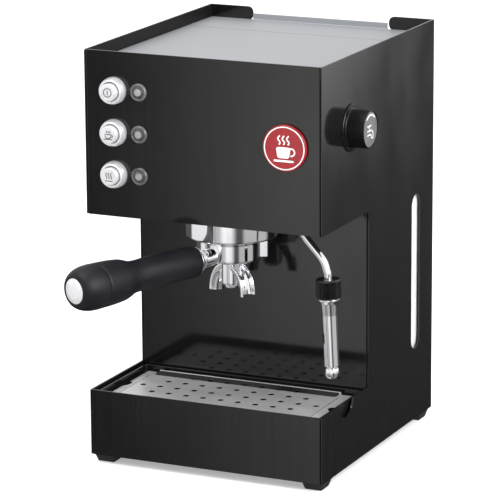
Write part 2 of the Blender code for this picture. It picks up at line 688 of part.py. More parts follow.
def portafilter(chrome, steel, grip):
    """All of it turns about the group's upright axis. The handle lies along the pivot's -Y."""
    pivot = empty("portafilter_pivot", (0, GROUP_Y, 0), (0, 0, -HANDLE_SIDE), ROOT)
    axis = empty("handle_axis", (0, 0, HANDLE_Z), (math.pi / 2 + HANDLE_DROOP, 0, 0), pivot)
    rim_z, cup_r, cup_z, drain_r = 0.2172, 0.0255, 0.1815, 0.0035
    cup = [
        (0.0232, rim_z),
        (0.0322, rim_z),
        (0.0322, 0.2075),
        (0.0290, 0.2045),
        (cup_r + 0.0010, 0.2020),
        (cup_r, 0.1985),
        (cup_r, cup_z + 0.0030),
        (cup_r - 0.0008, cup_z + 0.0010),
        (cup_r - 0.0025, cup_z),
        (BOSS_R, cup_z),
        (BOSS_R, BOSS_Z),
        (drain_r, BOSS_Z),
        (drain_r, cup_z + 0.0022),
        (0.0185, cup_z + 0.0030),
        (0.0222, cup_z + 0.0048),
        (0.0232, cup_z + 0.0075),
    ]
    body = turned("portafilter_body", cup, (0, 0, 0), UPRIGHT, chrome, pivot, steps=WIDE)
    for start in (LUG_START, LUG_START + 180):
        lug = sector(0.0240, 0.0325, start, start + LUG_SWEEP)
        join(body, sheet(f"lug_{start}", lug, 0.0300, (0, 0, 0.1980), UPRIGHT, parent=pivot))
        ear = sector(0.0300, 0.0372, start + 2, start + LUG_SWEEP - 2)
        join(body, sheet(f"ear_{start}", ear, 0.0050, (0, 0, 0.2125), UPRIGHT, parent=pivot))
    stud_r, stud_end = 0.0050, 0.078
    neck = [
        (0, stud_end),
        (stud_r, stud_end),
        (stud_r, HANDLE_START - GAP),
        (0.0132, HANDLE_START - GAP),
        (0.0128, HANDLE_START - 0.0020),
        (0.0085, HANDLE_START - 0.0070),
        (0.0080, HANDLE_START - 0.0120),
        (0.0080, cup_r - 0.0010),
        (0, cup_r - 0.0010),
    ]
    join(body, turned("neck", neck, (0, 0, 0), UPRIGHT, parent=axis, steps=16))

    wall = 0.0006
    basket_r, floor = 0.0229, 0.1900
    turned("filter_basket",
           [(basket_r - wall, rim_z + 0.0013), (0.0310, rim_z + 0.0013), (0.0310, rim_z + GAP),
            (basket_r + 0.0002, rim_z + GAP), (basket_r, rim_z - 0.0010), (basket_r, floor), (0, floor),
            (0, floor + wall), (basket_r - wall, floor + wall)],
           (0, 0, 0), UPRIGHT, steel, pivot, steps=24)

    bore_r = stud_r + GAP
    disc_r, disc_z = 0.0118, HANDLE_END - 0.0022
    handle = [
        (0, disc_z - 0.0003),
        (disc_r, disc_z - 0.0003),
        (disc_r, HANDLE_END - 0.0002),
        (0.0132, HANDLE_END - 0.0004),
        (0.0160, HANDLE_END - 0.0026),
        (0.0184, HANDLE_END - 0.0070),
        (0.0199, HANDLE_END - 0.0130),
        (0.0204, HANDLE_END - 0.0200),
        (0.0203, HANDLE_END - 0.0300),
        (0.0195, 0.1400),
        (0.0188, 0.1355),
        (0.0170, 0.1300),
        (0.0150, 0.1245),
        (0.0142, 0.1190),
        (0.0142, 0.1120),
        (0.0147, 0.1000),
        (0.0148, 0.0800),
        (0.0143, 0.0560),
        (0.0140, HANDLE_START + 0.0012),
        (0.0130, HANDLE_START),
        (bore_r, HANDLE_START),
        (bore_r, stud_end + 0.001),
        (0, stud_end + 0.001),
    ]
    turned("portafilter_handle", handle, (0, 0, 0), UPRIGHT, grip, axis, steps=24)
    turned("handle_end_cap",
           [(0, HANDLE_END + 0.0010), (disc_r * 0.6, HANDLE_END + 0.0007),
            (disc_r - 0.0010, HANDLE_END - 0.0001), (disc_r - GAP, HANDLE_END - 0.0006),
            (disc_r - GAP, disc_z), (0, disc_z)],
           (0, 0, 0), UPRIGHT, steel, axis, steps=24)
    twin_spout(chrome, pivot)


def sector(inner, outer, start, end, steps=6):
    """The outline of a piece of a flat ring."""
    return [*arc((0, 0), outer, start, end, steps), *arc((0, 0), inner, end, start, steps)]


def twin_spout(finish, pivot):
    """A hub under the portafilter with two open channels that curve outwards and down."""
    top, bottom = BOSS_Z - GAP, 0.1545
    hub = [
        (0, top),
        (BOSS_R - 0.0008, top),
        (BOSS_R, top - 0.0010),
        (BOSS_R, bottom + 0.0050),
        (0.0076, bottom + 0.0015),
        (0.0040, bottom),
        (0, bottom),
    ]
    spout = turned("portafilter_spout", hub, (0, 0, 0), UPRIGHT, finish, pivot, steps=NARROW)
    for side in (-1, 1):
        start_z = top - 0.0017
        drop = start_z - SPOUT_BOTTOM
        outward = SPOUT_HALF - 0.003
        steps = 6
        route = []
        for i in range(steps + 1):
            angle = math.radians(90 * i / steps)
            x = side * (0.003 + outward * math.sin(angle))
            route.append((x, 0, start_z - drop * (1 - math.cos(angle))))
        join(spout, channel(f"spout_arm_{side}", route, side, pivot))


def channel(name, route, side, parent):
    """A half pipe that follows the route in the XZ plane, open on its outer side."""
    outer, wall = 0.0080, 0.0016
    profile = [*arc((0, 0), outer, 180, 360, 7), *arc((0, 0), outer - wall, 360, 180, 7)]
    shape = bmesh.new()
    rings = []
    for i, point in enumerate(route):
        before, after = Vector(route[max(i - 1, 0)]), Vector(route[min(i + 1, len(route) - 1)])
        along = (after - before).normalized()
        across = Vector((0, 1, 0))
        outwards = along.cross(across) * side
        centre = Vector(point)
        rings.append([shape.verts.new(centre + across * u + outwards * v) for u, v in profile])
    count = len(profile)
    for ring, following in zip(rings, rings[1:]):
        for i in range(count):
            j = (i + 1) % count
            shape.faces.new((ring[i], ring[j], following[j], following[i]))
    shape.faces.new(rings[0][::-1])
    shape.faces.new(rings[-1])
    bmesh.ops.recalc_face_normals(shape, faces=shape.faces)
    mesh = mesh_from(shape, name)
    smooth(mesh)
    return place(mesh, name, parent=parent)


# ---- steam wand ----
def steam_wand(chrome, plastic):
    """The wand swivels about the upright axis through its ball."""
    swivel = empty("wand_swivel", (WAND_X, WAND_Y, 0), UPRIGHT, ROOT)
    collar_dx, collar_dy = COLLAR_X - WAND_X, COLLAR_Y - WAND_Y
    frother = empty("frother_axis", (collar_dx, collar_dy, COLLAR_Z), (0, -WAND_LEAN, 0), swivel)
    nut_top = HEAD_BOTTOM - GAP
    turned("wand_nut",
           [(WAND_TUBE_R + 0.0012, nut_top), (0.0110, nut_top), (0.0110, nut_top - 0.0040),
            (0.0085, nut_top - 0.0065), (WAND_TUBE_R + 0.0012, nut_top - 0.0065)],
           (WAND_X, WAND_Y, 0), finish=chrome, steps=16)
    lean = math.tan(WAND_LEAN)
    inside = COLLAR_Z - COLLAR_H - 0.012
    route = [
        (0, 0, BALL_Z),
        (0, 0, BALL_Z - 0.0125),
        (0.0035, -0.0004, 0.2125),
        (0.0165, -0.0020, 0.1990),
        (0.0215, -0.0027, 0.1930),
        (collar_dx - 0.0015, collar_dy, 0.1860),
        (collar_dx, collar_dy, COLLAR_Z),
        (collar_dx + lean * (COLLAR_Z - inside), collar_dy, inside),
    ]
    wand = tube("steam_wand", route, WAND_TUBE_R, chrome, swivel, sides=3)
    shape = bmesh.new()
    bmesh.ops.create_uvsphere(shape, u_segments=16, v_segments=8, radius=BALL_R)
    join(wand, place(mesh_from(shape, "wand_ball"), "wand_ball", (0, 0, BALL_Z), parent=swivel))

    ridges, depth = 20, 0.0006
    knurl = []
    for i in range(4 * ridges):
        radius = COLLAR_R - (depth if i % 4 in (2, 3) else 0)
        angle = 2 * math.pi * i / (4 * ridges)
        knurl.append((radius * math.cos(angle), radius * math.sin(angle)))
    collar = sheet("wand_collar", knurl, COLLAR_H, (0, 0, -COLLAR_H / 2), UPRIGHT, plastic, frother)
    bore = WAND_TUBE_R + 0.0006
    cut(collar, rod("collar_bore", bore, (0, 0, -COLLAR_H - 0.01), (0, 0, 0.01),
                    parent=frother, segments=20))

    top, groove = -COLLAR_H - GAP, -0.0800
    sleeve = [
        (bore, top),
        (0.0098, top),
        (0.0098, top - 0.0012),
        (0.0088, top - 0.0030),
        (0.0072, top - 0.0050),
        (0.0068, groove),
        (0.0050, groove),
        (0.0050, groove + 0.010),
        (bore, groove + 0.012),
    ]
    turned("frother_sleeve", sleeve, (0, 0, 0), UPRIGHT, chrome, frother)
    tip = [
        (0, groove + 0.0080),
        (0.0046, groove + 0.0080),
        (0.0046, groove - 0.0010),
        (0.0058, groove - 0.0025),
        (0.0064, groove - 0.0055),
        (0.0060, groove - 0.0085),
        (0.0052, groove - 0.0105),
        (0.0040, groove - 0.0112),
        (0, groove - 0.0112),
    ]
    turned("frother_tip", tip, (0, 0, 0), UPRIGHT, chrome, frother)


# ---- drip area ----
def drip_area(plastic, steel):
    tray = block("drip_tray", (-DRIP_HALF_X, DRIP_FRONT, DRIP_BOTTOM),
                 (DRIP_HALF_X, DRIP_BACK, DRIP_TOP), plastic)
    wall, floor, ledge, over = 0.002, 0.002, 0.0065, 0.01
    inner = wall + ledge
    cut(tray,
        block("tray_pocket", (wall - DRIP_HALF_X, DRIP_FRONT + wall, LEDGE_Z),
              (DRIP_HALF_X - wall, DRIP_BACK - wall, DRIP_TOP + over)),
        block("tray_hollow", (inner - DRIP_HALF_X, DRIP_FRONT + inner, DRIP_BOTTOM + floor),
              (DRIP_HALF_X - inner, DRIP_BACK - inner, DRIP_TOP + over)))

    rim_z = LEDGE_Z + GAP + GRILL_T
    shape = bmesh.new()
    field = corners(shape, FIELD_HALF_X, FIELD_HALF_Y, GRILL_RISE)
    rim = corners(shape, GRILL_HALF_X, GRILL_HALF_Y, 0)
    shape.faces.new(field)
    for i in range(4):
        j = (i + 1) % 4
        shape.faces.new((rim[i], rim[j], field[j], field[i]))
    grill = place(mesh_from(shape, "drip_grill"), "drip_grill", (0, GRILL_Y, rim_z), finish=steel)
    thick = grill.modifiers.new("Thickness", "SOLIDIFY")
    thick.thickness = GRILL_T
    thick.offset = -1
    back = GRILL_Y + GRILL_HALF_Y
    join(grill, block("grill_lip", (-LIP_HALF_X, back - LIP_T, rim_z - GRILL_T / 2),
                      (LIP_HALF_X, back, rim_z + LIP_H)))
    cut(grill, grill_holes(rim_z))


def corners(shape, half_x, half_y, z):
    """The corners of a rectangle, anticlockwise from above."""
    signs = ((-1, -1), (1, -1), (1, 1), (-1, 1))
    return [shape.verts.new((u * half_x, v * half_y, z)) for u, v in signs]


def grill_holes(z):
    """Every drain hole and the two finger notches in one cutter."""
    shape = bmesh.new()
    middle_row = len(HOLE_ROWS) // 2

    def pin(x, y, radius, segments):
        bmesh.ops.create_cone(shape, cap_ends=True, segments=segments, radius1=radius, radius2=radius,
                              depth=0.02, matrix=Matrix.Translation((x, y, 0)))

    for row, count in enumerate(HOLE_ROWS):
        for i in range(count):
            pin((i - (count - 1) / 2) * HOLE_PITCH, (row - middle_row) * HOLE_PITCH, HOLE_R, 6)
    for side in (-1, 1):
        pin(side * (GRILL_HALF_X + FINGER_R - FINGER_DEPTH), 0, FINGER_R, 20)
    return place(mesh_from(shape, "grill_holes"), "grill_holes", (0, GRILL_Y, z))


def stand_on_origin():
    """Moves the root so that the origin is at the middle of the base of the whole object's box."""
    bpy.context.view_layer.update()
    graph = bpy.context.evaluated_depsgraph_get()
    corners = []
    for obj in PARTS.objects:
        if obj.type == "MESH":
            seen = obj.evaluated_get(graph)
            corners += [seen.matrix_world @ vert.co for vert in seen.data.vertices]
    low = [min(corner[i] for corner in corners) for i in range(3)]
    high = [max(corner[i] for corner in corners) for i in range(3)]
    ROOT.location = (-(low[0] + high[0]) / 2, -(low[1] + high[1]) / 2, -low[2])


clear_scene()
PARTS = new_collection("espresso_machine")
CUTTERS = new_collection("cutters")
ROOT = empty("machine", (0, 0, 0))

black_enamel = new_material("black_enamel", (0.012, 0.012, 0.013), 0.18, 0.0)
brushed_steel = new_material("brushed_steel", (0.62, 0.63, 0.64), 0.32, 1.0)
chrome_plate = new_material("chrome", (0.75, 0.76, 0.78), 0.06, 1.0)
satin_silver = new_material("satin_silver", (0.66, 0.67, 0.69), 0.28, 1.0)
black_plastic = new_material("black_plastic", (0.015, 0.015, 0.017), 0.45, 0.0)
grip_plastic = new_material("grip_plastic", (0.014, 0.015, 0.020), 0.55, 0.0)
grey_plastic = new_material("grey_plastic", (0.14, 0.14, 0.15), 0.40, 0.0)
black_rubber = new_material("black_rubber", (0.012, 0.012, 0.012), 0.80, 0.0)
lamp_lens = new_material("lamp_lens", (0.42, 0.43, 0.45), 0.15, 0.0)
red_enamel = new_material("red_enamel", (0.42, 0.015, 0.025), 0.20, 0.0)
brass = new_material("brass", (0.72, 0.55, 0.25), 0.30, 1.0)
copper = new_material("copper", (0.80, 0.42, 0.26), 0.28, 1.0)
cast_alloy = new_material("cast_alloy", (0.56, 0.57, 0.58), 0.45, 1.0)
clear_plastic = new_material("clear_plastic", (0.80, 0.84, 0.86), 0.20, 0.0, 0.35)
silicone = new_material("silicone", (0.70, 0.70, 0.68), 0.50, 0.0)

casing(black_enamel, brushed_steel, black_rubber)
controls((satin_silver, satin_silver, lamp_lens, black_plastic), red_enamel)
steam_control(black_plastic, grey_plastic, brass)
boiler(cast_alloy, brushed_steel, black_plastic, copper)
pump(black_plastic, brushed_steel, silicone)
water_tank(clear_plastic, black_plastic, brushed_steel)
power_inlet(black_plastic)
brew_group(chrome_plate, brushed_steel, black_rubber)
portafilter(chrome_plate, brushed_steel, grip_plastic)
steam_wand(chrome_plate, black_plastic)
drip_area(black_plastic, brushed_steel)
stand_on_origin()
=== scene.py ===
"""Looks of the espresso machine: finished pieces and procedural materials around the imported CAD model.

Metres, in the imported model's frame: +X to the right, -Y to the front, +Z up. Places come from the boxes of
the CAD nodes. What a node's box doesn't give is counted from the middle of the casing's front bottom edge.
"""

import json
import math

import bmesh
import bpy
from mathutils import Matrix, Vector


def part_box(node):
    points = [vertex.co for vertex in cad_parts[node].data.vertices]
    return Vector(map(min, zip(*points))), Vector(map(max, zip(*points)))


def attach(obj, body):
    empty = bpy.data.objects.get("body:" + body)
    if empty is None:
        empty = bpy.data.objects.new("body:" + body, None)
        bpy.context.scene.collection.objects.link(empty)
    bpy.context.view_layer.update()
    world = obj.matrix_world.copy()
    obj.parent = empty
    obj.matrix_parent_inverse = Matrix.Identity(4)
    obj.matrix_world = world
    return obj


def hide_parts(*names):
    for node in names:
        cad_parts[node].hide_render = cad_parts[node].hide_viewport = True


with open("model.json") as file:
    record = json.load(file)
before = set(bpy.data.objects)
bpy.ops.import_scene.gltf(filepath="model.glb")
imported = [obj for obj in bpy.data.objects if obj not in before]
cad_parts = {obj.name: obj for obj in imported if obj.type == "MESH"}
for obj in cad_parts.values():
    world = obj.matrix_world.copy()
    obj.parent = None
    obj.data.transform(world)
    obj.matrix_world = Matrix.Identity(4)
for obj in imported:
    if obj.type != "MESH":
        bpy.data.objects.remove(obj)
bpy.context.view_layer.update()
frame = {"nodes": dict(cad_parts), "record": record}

BODY_OF = {node: body for body, nodes in frame["record"]["behaviour"]["bodies"].items() for node in nodes}

# ---- places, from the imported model, counted from the middle of the casing's front bottom edge ----
LEFT_LOW, LEFT_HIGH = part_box("left_side_panel")
RIGHT_LOW, RIGHT_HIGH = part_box("right_side_panel")
ORIGIN = Vector(((LEFT_LOW.x + RIGHT_HIGH.x) / 2, LEFT_LOW.y, LEFT_LOW.z))
LAYOUT = Matrix.Translation(ORIGIN)


def local(node):
    """The lowest and highest corner of a CAD node, in the layout's own coordinates."""
    low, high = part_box(node)
    return tuple(low - ORIGIN), tuple(high - ORIGIN)


HALF_W = RIGHT_HIGH.x - ORIGIN.x
BODY_D, BODY_H = local("right_side_panel")[1][1:]
SHEET = local("upper_front_panel")[1][1]
INNER_X = HALF_W - SHEET
HEAD_BOTTOM = local("upper_front_panel")[0][2]
BASE_TOP = local("base_front_panel")[1][2]
COLUMN_FRONT = local("column_front_plate")[0][1]
TAB_LENGTH, TAB_H = HALF_W - abs(local("left_side_panel")[1][0]), 0.013
GAP = 0.0003
SQUARE = ((-1, -1), (1, -1), (1, 1), (-1, 1))

# ---- shapes that a box doesn't give ----
NOTCH_Y, NOTCH_HALF, NOTCH_DEPTH = 0.055, 0.017, 0.014
SLOT_Y, SLOT_Z, SLOT_W, SLOT_H = 0.2205, 0.1435, 0.0205, 0.149
LAMP_NECK_R = 0.0055
HANDLE_SIDE, HANDLE_DROOP = math.radians(22), math.radians(0.8)
HANDLE_Z, HANDLE_START, HANDLE_END = 0.188, 0.0468, 0.187
CREASE_Z = 0.16
LUG_START, LUG_SWEEP = 46, 44
BOSS_R, BOSS_Z = 0.0094, 0.179
SPOUT_RUN = 0.0185
BALL_Z = 0.2312
WAND_LEAN = math.radians(2.7)
COLLAR_X, COLLAR_Y, COLLAR_Z, COLLAR_R, COLLAR_H = 0.1036, 0.04, 0.1786, 0.0115, 0.0176
LEDGE_Z = 0.0528
FIELD_HALF_X, FIELD_HALF_Y, GRILL_RISE = 0.095, 0.0315, 0.0014
LIP_HALF_X = 0.092
HOLE_PITCH, HOLE_R, HOLE_ROWS = 0.01735, 0.0028, (7, 9, 11, 9, 7)
FINGER_R, FINGER_DEPTH = 0.008, 0.005
CUT = 0.01


def middle(node, axis):
    low, high = local(node)
    return (low[axis] + high[axis]) / 2


def half_width(node):
    low, high = local(node)
    return (high[0] - low[0]) / 2


CONTROL_ROWS = {row: middle(row + "_bezel", 2) for row in ("steam", "brew", "power")}
BUTTON_X, LAMP_X = middle("power_bezel", 0), middle("power_lamp", 0)
GROUP_Y = middle("group_ring", 1)
CAP_R = half_width("power_button")
CAP_REACH = -local("power_button")[0][1]
LAMP_R = half_width("power_lamp")
BADGE_X, BADGE_Z = middle("badge", 0), middle("badge", 2)
KNOB_Y, KNOB_Z = middle("steam_knob", 1), middle("steam_knob", 2)

# ---- camera ----
CAMERA_AZIMUTH = math.radians(24.8)
CAMERA_ELEVATION = math.radians(13.99)
CAMERA_ROLL = math.radians(-0.35)
CAMERA_SPOT = (1.1812, -2.4564, 0.8823)
CAMERA_LENS_MM = 228.4

# ---- what the glossy surfaces mirror below the horizon: soft patches, each as an azimuth, the half widths
# where it starts and ends to fade, and its level ----
ROOM_PATCHES = ((-64, 24, 33, 0.85), (-23, 0, 4.8, 1.35), (-6, 4, 22, 0.5), (16, 4, 24, 0.95),
                (88, 28, 40, 0.45))
ROOM_AMBIENT, ROOM_WHITE = 0.1, 1
# One more, round, as azimuth and elevation: the half angles where it ends and is full, and its level.
SIDE_SPOT, SIDE_SPOT_REACH, SIDE_SPOT_GAIN = (153.5, -9.2), (4.5, 1.9), 1.7


# ---- node graphs ----
def grey(level):
    return level, level, level


def new_material(name, colour, roughness, metallic=0, **sockets):
    made = bpy.data.materials.new(name)
    made.use_nodes = True
    set_inputs(made.node_tree.nodes["Principled BSDF"], Base_Color=(*colour, 1), Roughness=roughness,
               Metallic=metallic, **sockets)
    return made


def shader_socket(made, name):
    return made.node_tree.nodes["Principled BSDF"].inputs[name]


def add_node(made, kind, **settings):
    """A node in the graph of a material or of the world."""
    node = made.node_tree.nodes.new(kind)
    for key, value in settings.items():
        setattr(node, key, value)
    return node


def set_inputs(node, **values):
    """Sets a node's sockets by their names, underscores for spaces."""
    for socket, value in values.items():
        node.inputs[socket.replace("_", " ")].default_value = value


def link(made, source, target):
    made.node_tree.links.new(source, target)


def map_range(made, factor, start, end, low, high, **settings):
    """A value that runs from low to high while the factor runs from start to end."""
    reach = add_node(made, "ShaderNodeMapRange", **settings)
    set_inputs(reach, From_Min=start, From_Max=end, To_Min=low, To_Max=high)
    link(made, factor, reach.inputs["Value"])
    return reach.outputs["Result"]


def noise(made, size, detail=3, roughness=0.5):
    """A noise factor whose grains measure size in metres, the same all ways or as (x, y, z)."""
    mapping = add_node(made, "ShaderNodeMapping")
    set_inputs(mapping, Scale=[1 / length for length in (size if isinstance(size, tuple) else (size,) * 3)])
    texture = add_node(made, "ShaderNodeTexNoise")
    set_inputs(texture, Scale=1, Detail=detail, Roughness=roughness)
    link(made, add_node(made, "ShaderNodeTexCoord").outputs["Object"], mapping.inputs["Vector"])
    link(made, mapping.outputs["Vector"], texture.inputs["Vector"])
    return texture.outputs["Fac"]


def vary_colour(made, factor, tones, span=(0.3, 0.7)):
    ramp = add_node(made, "ShaderNodeValToRGB")
    for stop, place, tone in zip(ramp.color_ramp.elements, span, tones):
        stop.position = place
        stop.color = (*tone, 1)
    link(made, factor, ramp.inputs["Fac"])
    link(made, ramp.outputs["Color"], shader_socket(made, "Base Color"))


def vary_roughness(made, factor, low, high):
    link(made, map_range(made, factor, 0.3, 0.7, low, high), shader_socket(made, "Roughness"))


def add_bump(made, factor, height):
    """Bumps of this height in metres."""
    bump = add_node(made, "ShaderNodeBump")
    set_inputs(bump, Strength=1, Distance=height)
    link(made, factor, bump.inputs["Height"])
    link(made, bump.outputs["Normal"], shader_socket(made, "Normal"))


def finish(made, cloud, tones, rough, grain=None, height=0, ground=False, span=(0.3, 0.7)):
    """Gives a material a drifting tone and roughness, and the relief of a finer grain. A cloud or a grain is
    (size, detail) or (size, detail, roughness). On ground metal the tone follows the grain."""
    drift = noise(made, *cloud)
    relief = noise(made, *grain) if grain else None
    vary_colour(made, relief if ground else drift, tones, span)
    vary_roughness(made, drift, *rough)
    if grain:
        add_bump(made, relief, height)
    return made


# ---- finishes, one function for each material slot ----
def black_enamel():
    """Deep gloss black over steel that was ground up and down before it was coated."""
    made = new_material("black_enamel", grey(0.006), 0.09, IOR=1.5)
    return finish(made, ((0.05, 0.05, 0.08), 2), (grey(0.003), grey(0.009)), (0.07, 0.12),
                  ((0.001, 0.001, 0.12), 5, 0.65), 0.0000015, ground=True)


def brushed_steel():
    """Stainless steel with its grain from side to side."""
    made = new_material("brushed_steel", (0.6, 0.61, 0.63), 0.3, 1)
    return finish(made, ((0.07, 0.03, 0.03), 2), ((0.55, 0.56, 0.58), (0.66, 0.67, 0.69)), (0.26, 0.34),
                  ((0.06, 0.00035, 0.00035), 6, 0.7), 0.00001, ground=True, span=(0.25, 0.75))


def chrome():
    made = new_material("chrome", (0.88, 0.88, 0.9), 0.05, 1)
    return finish(made, (0.006, 4), ((0.85, 0.85, 0.87), (0.92, 0.92, 0.94)), (0.035, 0.08),
                  ((0.012, 0.012, 0.02), 2), 0.00001)


def satin_silver():
    """The silver finish of the push buttons: fine metal flakes under a matt clear coat."""
    made = new_material("satin_silver", (0.86, 0.86, 0.88), 0.34, 0.6)
    return finish(made, (0.006, 3), ((0.82, 0.82, 0.84), (0.9, 0.9, 0.92)), (0.28, 0.38),
                  (0.0002, 2), 0.000006)


def moulded_plastic(name, tones, rough, grain_size, grain_height, shine=0.5):
    """A moulded plastic or rubber with a fine eroded grain and faint cloudy gloss."""
    made = new_material(name, tones[1], rough[1], IOR=1.47, Specular_IOR_Level=shine)
    return finish(made, (0.014, 3), tones, rough, (grain_size, 3, 0.6), grain_height)


def black_plastic():
    return moulded_plastic("black_plastic", (grey(0.003), grey(0.005)), (0.22, 0.3), 0.0004, 0.000008, 0.4)


def grip_plastic():
    tones = (0.0055, 0.0055, 0.0075), (0.0085, 0.0085, 0.0115)
    return moulded_plastic("grip_plastic", tones, (0.42, 0.52), 0.0005, 0.00004, 0.28)


def grey_plastic():
    return moulded_plastic("grey_plastic", (grey(0.1), grey(0.14)), (0.34, 0.42), 0.0003, 0.00001)


def black_rubber():
    return moulded_plastic("black_rubber", (grey(0.009), grey(0.015)), (0.7, 0.85), 0.0008, 0.00006)


def silicone():
    tones = (0.62, 0.62, 0.6), (0.72, 0.72, 0.7)
    return moulded_plastic("silicone", tones, (0.42, 0.55), 0.001, 0.00003)


def gloss_plastic():
    """The drip tray: a black moulding with a polished surface."""
    return moulded_plastic("gloss_plastic", (grey(0.006), grey(0.01)), (0.12, 0.2), 0.0008, 0.000004)


def lamp_grey():
    """The lighter moulded ring round a lamp."""
    return moulded_plastic("lamp_grey", (grey(0.07), grey(0.12)), (0.18, 0.28), 0.0004, 0.000005)


def lamp_core():
    return moulded_plastic("lamp_core", (grey(0.2), grey(0.3)), (0.2, 0.3), 0.0006, 0.000005)


def lamp_lens():
    made = new_material("lamp_lens", grey(0.05), 0.12, IOR=1.5, Coat_Weight=0.6, Coat_Roughness=0.05)
    return finish(made, (0.003, 3), (grey(0.03), grey(0.07)), (0.1, 0.22))


def red_enamel():
    made = new_material("red_enamel", (0.26, 0.008, 0.012), 0.2, IOR=1.5, Coat_Weight=0.2,
                        Coat_Roughness=0.04)
    return finish(made, (0.008, 4), ((0.22, 0.006, 0.01), (0.3, 0.01, 0.016)), (0.12, 0.22))


def turned_metal(name, tones, roughness):
    """Machined or drawn metal with fine marks."""
    made = new_material(name, tones[1], roughness, 1)
    return finish(made, (0.015, 4), tones, (roughness - 0.05, roughness + 0.08),
                  ((0.004, 0.004, 0.0004), 4, 0.6), 0.00001)


def brass():
    return turned_metal("brass", ((0.62, 0.44, 0.18), (0.76, 0.59, 0.28)), 0.28)


def copper():
    return turned_metal("copper", ((0.66, 0.32, 0.2), (0.84, 0.46, 0.3)), 0.26)


def cast_alloy():
    return turned_metal("cast_alloy", ((0.46, 0.47, 0.48), (0.6, 0.61, 0.62)), 0.46)


def clear_plastic():
    """The milky plastic of the water tank."""
    made = new_material("clear_plastic", (0.86, 0.88, 0.9), 0.24, IOR=1.49, Transmission_Weight=0.25)
    return finish(made, ((0.03, 0.03, 0.06), 3), ((0.8, 0.83, 0.85), (0.9, 0.92, 0.93)), (0.2, 0.32),
                  (0.0006, 2), 0.00001)


def polished_steel():
    """The drip grill's hole walls and the channel along its back: stainless, nearly a mirror."""
    made = new_material("polished_steel", (0.56, 0.57, 0.58), 0.12, 1)
    return finish(made, (0.02, 3), ((0.52, 0.53, 0.54), (0.6, 0.61, 0.62)), (0.09, 0.15),
                  ((0.08, 0.0004, 0.0004), 4, 0.6), 0.000004)


def satin_steel():
    """The drip grill's plate: stainless blasted to an even pale grey."""
    made = new_material("satin_steel", (0.5, 0.5, 0.51), 0.34, 0.35)
    return finish(made, ((0.03, 0.015, 0.015), 3), ((0.46, 0.46, 0.47), (0.53, 0.53, 0.54)), (0.3, 0.38),
                  ((0.0004, 0.0003, 0.0003), 3), 0.000008)


def warmer_steel():
    """The cup tray and the tank lid: stainless ground so finely that it looks an even pale grey."""
    made = new_material("warmer_steel", (0.43, 0.44, 0.46), 0.5, 0.45)
    tones = (0.325, 0.335, 0.352), (0.358, 0.368, 0.385)
    return finish(made, ((0.12, 0.06, 0.06), 2), tones, (0.48, 0.54),
                  ((0.06, 0.0004, 0.0004), 5, 0.7), 0.000004, ground=True, span=(0.25, 0.75))


def shaded_enamel():
    """The thin matt coat on the inner faces of the side panels."""
    made = new_material("shaded_enamel", grey(0.006), 0.4, IOR=1.5, Specular_IOR_Level=0.12)
    return finish(made, (0.04, 3), (grey(0.004), grey(0.008)), (0.34, 0.46))


def ink(name, tones, roughness, **sockets):
    """A printed mark, with a faint grain."""
    made = new_material(name, tones[0], roughness, IOR=1.5, **sockets)
    vary_colour(made, noise(made, 0.0004, 2), tones)
    return made


def white_ink():
    return ink("white_ink", (grey(0.74), grey(0.86)), 0.4)


def grey_ink():
    return ink("grey_ink", ((0.014, 0.014, 0.015), (0.03, 0.03, 0.032)), 0.5, Specular_IOR_Level=0.2)


FINISHES = {make.__name__: make() for make in (
    black_enamel, brushed_steel, chrome, satin_silver, black_plastic, grip_plastic, grey_plastic,
    black_rubber, silicone, lamp_lens, lamp_grey, lamp_core, red_enamel, brass, copper, cast_alloy,
    clear_plastic, polished_steel, satin_steel, warmer_steel, shaded_enamel, gloss_plastic, white_ink,
    grey_ink)}


# ---- mesh work ----
def add_object(name, data):
    made = bpy.data.objects.new(name, data)
    bpy.context.scene.collection.objects.link(made)
    return made


def soften(obj, width, segments):
    """Rounds an object's sharp edges."""
    edges = obj.modifiers.new("Edges", "BEVEL")
    edges.width, edges.segments = width, segments
    edges.limit_method = "ANGLE"
    edges.angle_limit = math.radians(40)
    return edges


def piece(name, mesh, finish_name, node, bevel=0, segments=3, extra=False):
    """A piece that rides with a CAD node and, unless it is an extra, stands for it."""
    made = add_object(name, mesh)
    mesh.transform(LAYOUT)
    mesh.materials.clear()
    mesh.materials.append(FINISHES[finish_name])
    mesh.shade_smooth()
    if bevel:
        soften(made, bevel, segments).harden_normals = True
    else:
        mesh.set_sharp_from_angle(angle=math.radians(42))
    normals = made.modifiers.new("Normals", "WEIGHTED_NORMAL")
    normals.weight = 100
    normals.keep_sharp = True
    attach(made, BODY_OF[node])
    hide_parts(*([] if extra else [node]))
    return made


def to_mesh(shape, place=None):
    bmesh.ops.recalc_face_normals(shape, faces=shape.faces)
    mesh = bpy.data.meshes.new("shape")
    shape.to_mesh(mesh)
    shape.free()
    if place:
        mesh.transform(place)
    return mesh


def evaluated_mesh(obj):
    """The object's mesh with its modifiers applied."""
    bpy.context.view_layer.update()
    return bpy.data.meshes.new_from_object(obj.evaluated_get(bpy.context.evaluated_depsgraph_get()))


def combined(mesh, others, operation="DIFFERENCE"):
    """The mesh with the others cut from it or joined to it."""
    base = add_object("base", mesh)
    tools = [add_object("tool", other) for other in others]
    for tool in tools:
        step = base.modifiers.new("Step", "BOOLEAN")
        step.operation, step.solver, step.object = operation, "EXACT", tool
    made = evaluated_mesh(base)
    for obj in (base, *tools):
        bpy.data.objects.remove(obj)
    return made


def bevelled(mesh, width, segments):
    """The mesh with its sharp edges rounded."""
    obj = add_object("edged", mesh)
    soften(obj, width, segments)
    made = evaluated_mesh(obj)
    bpy.data.objects.remove(obj)
    return made


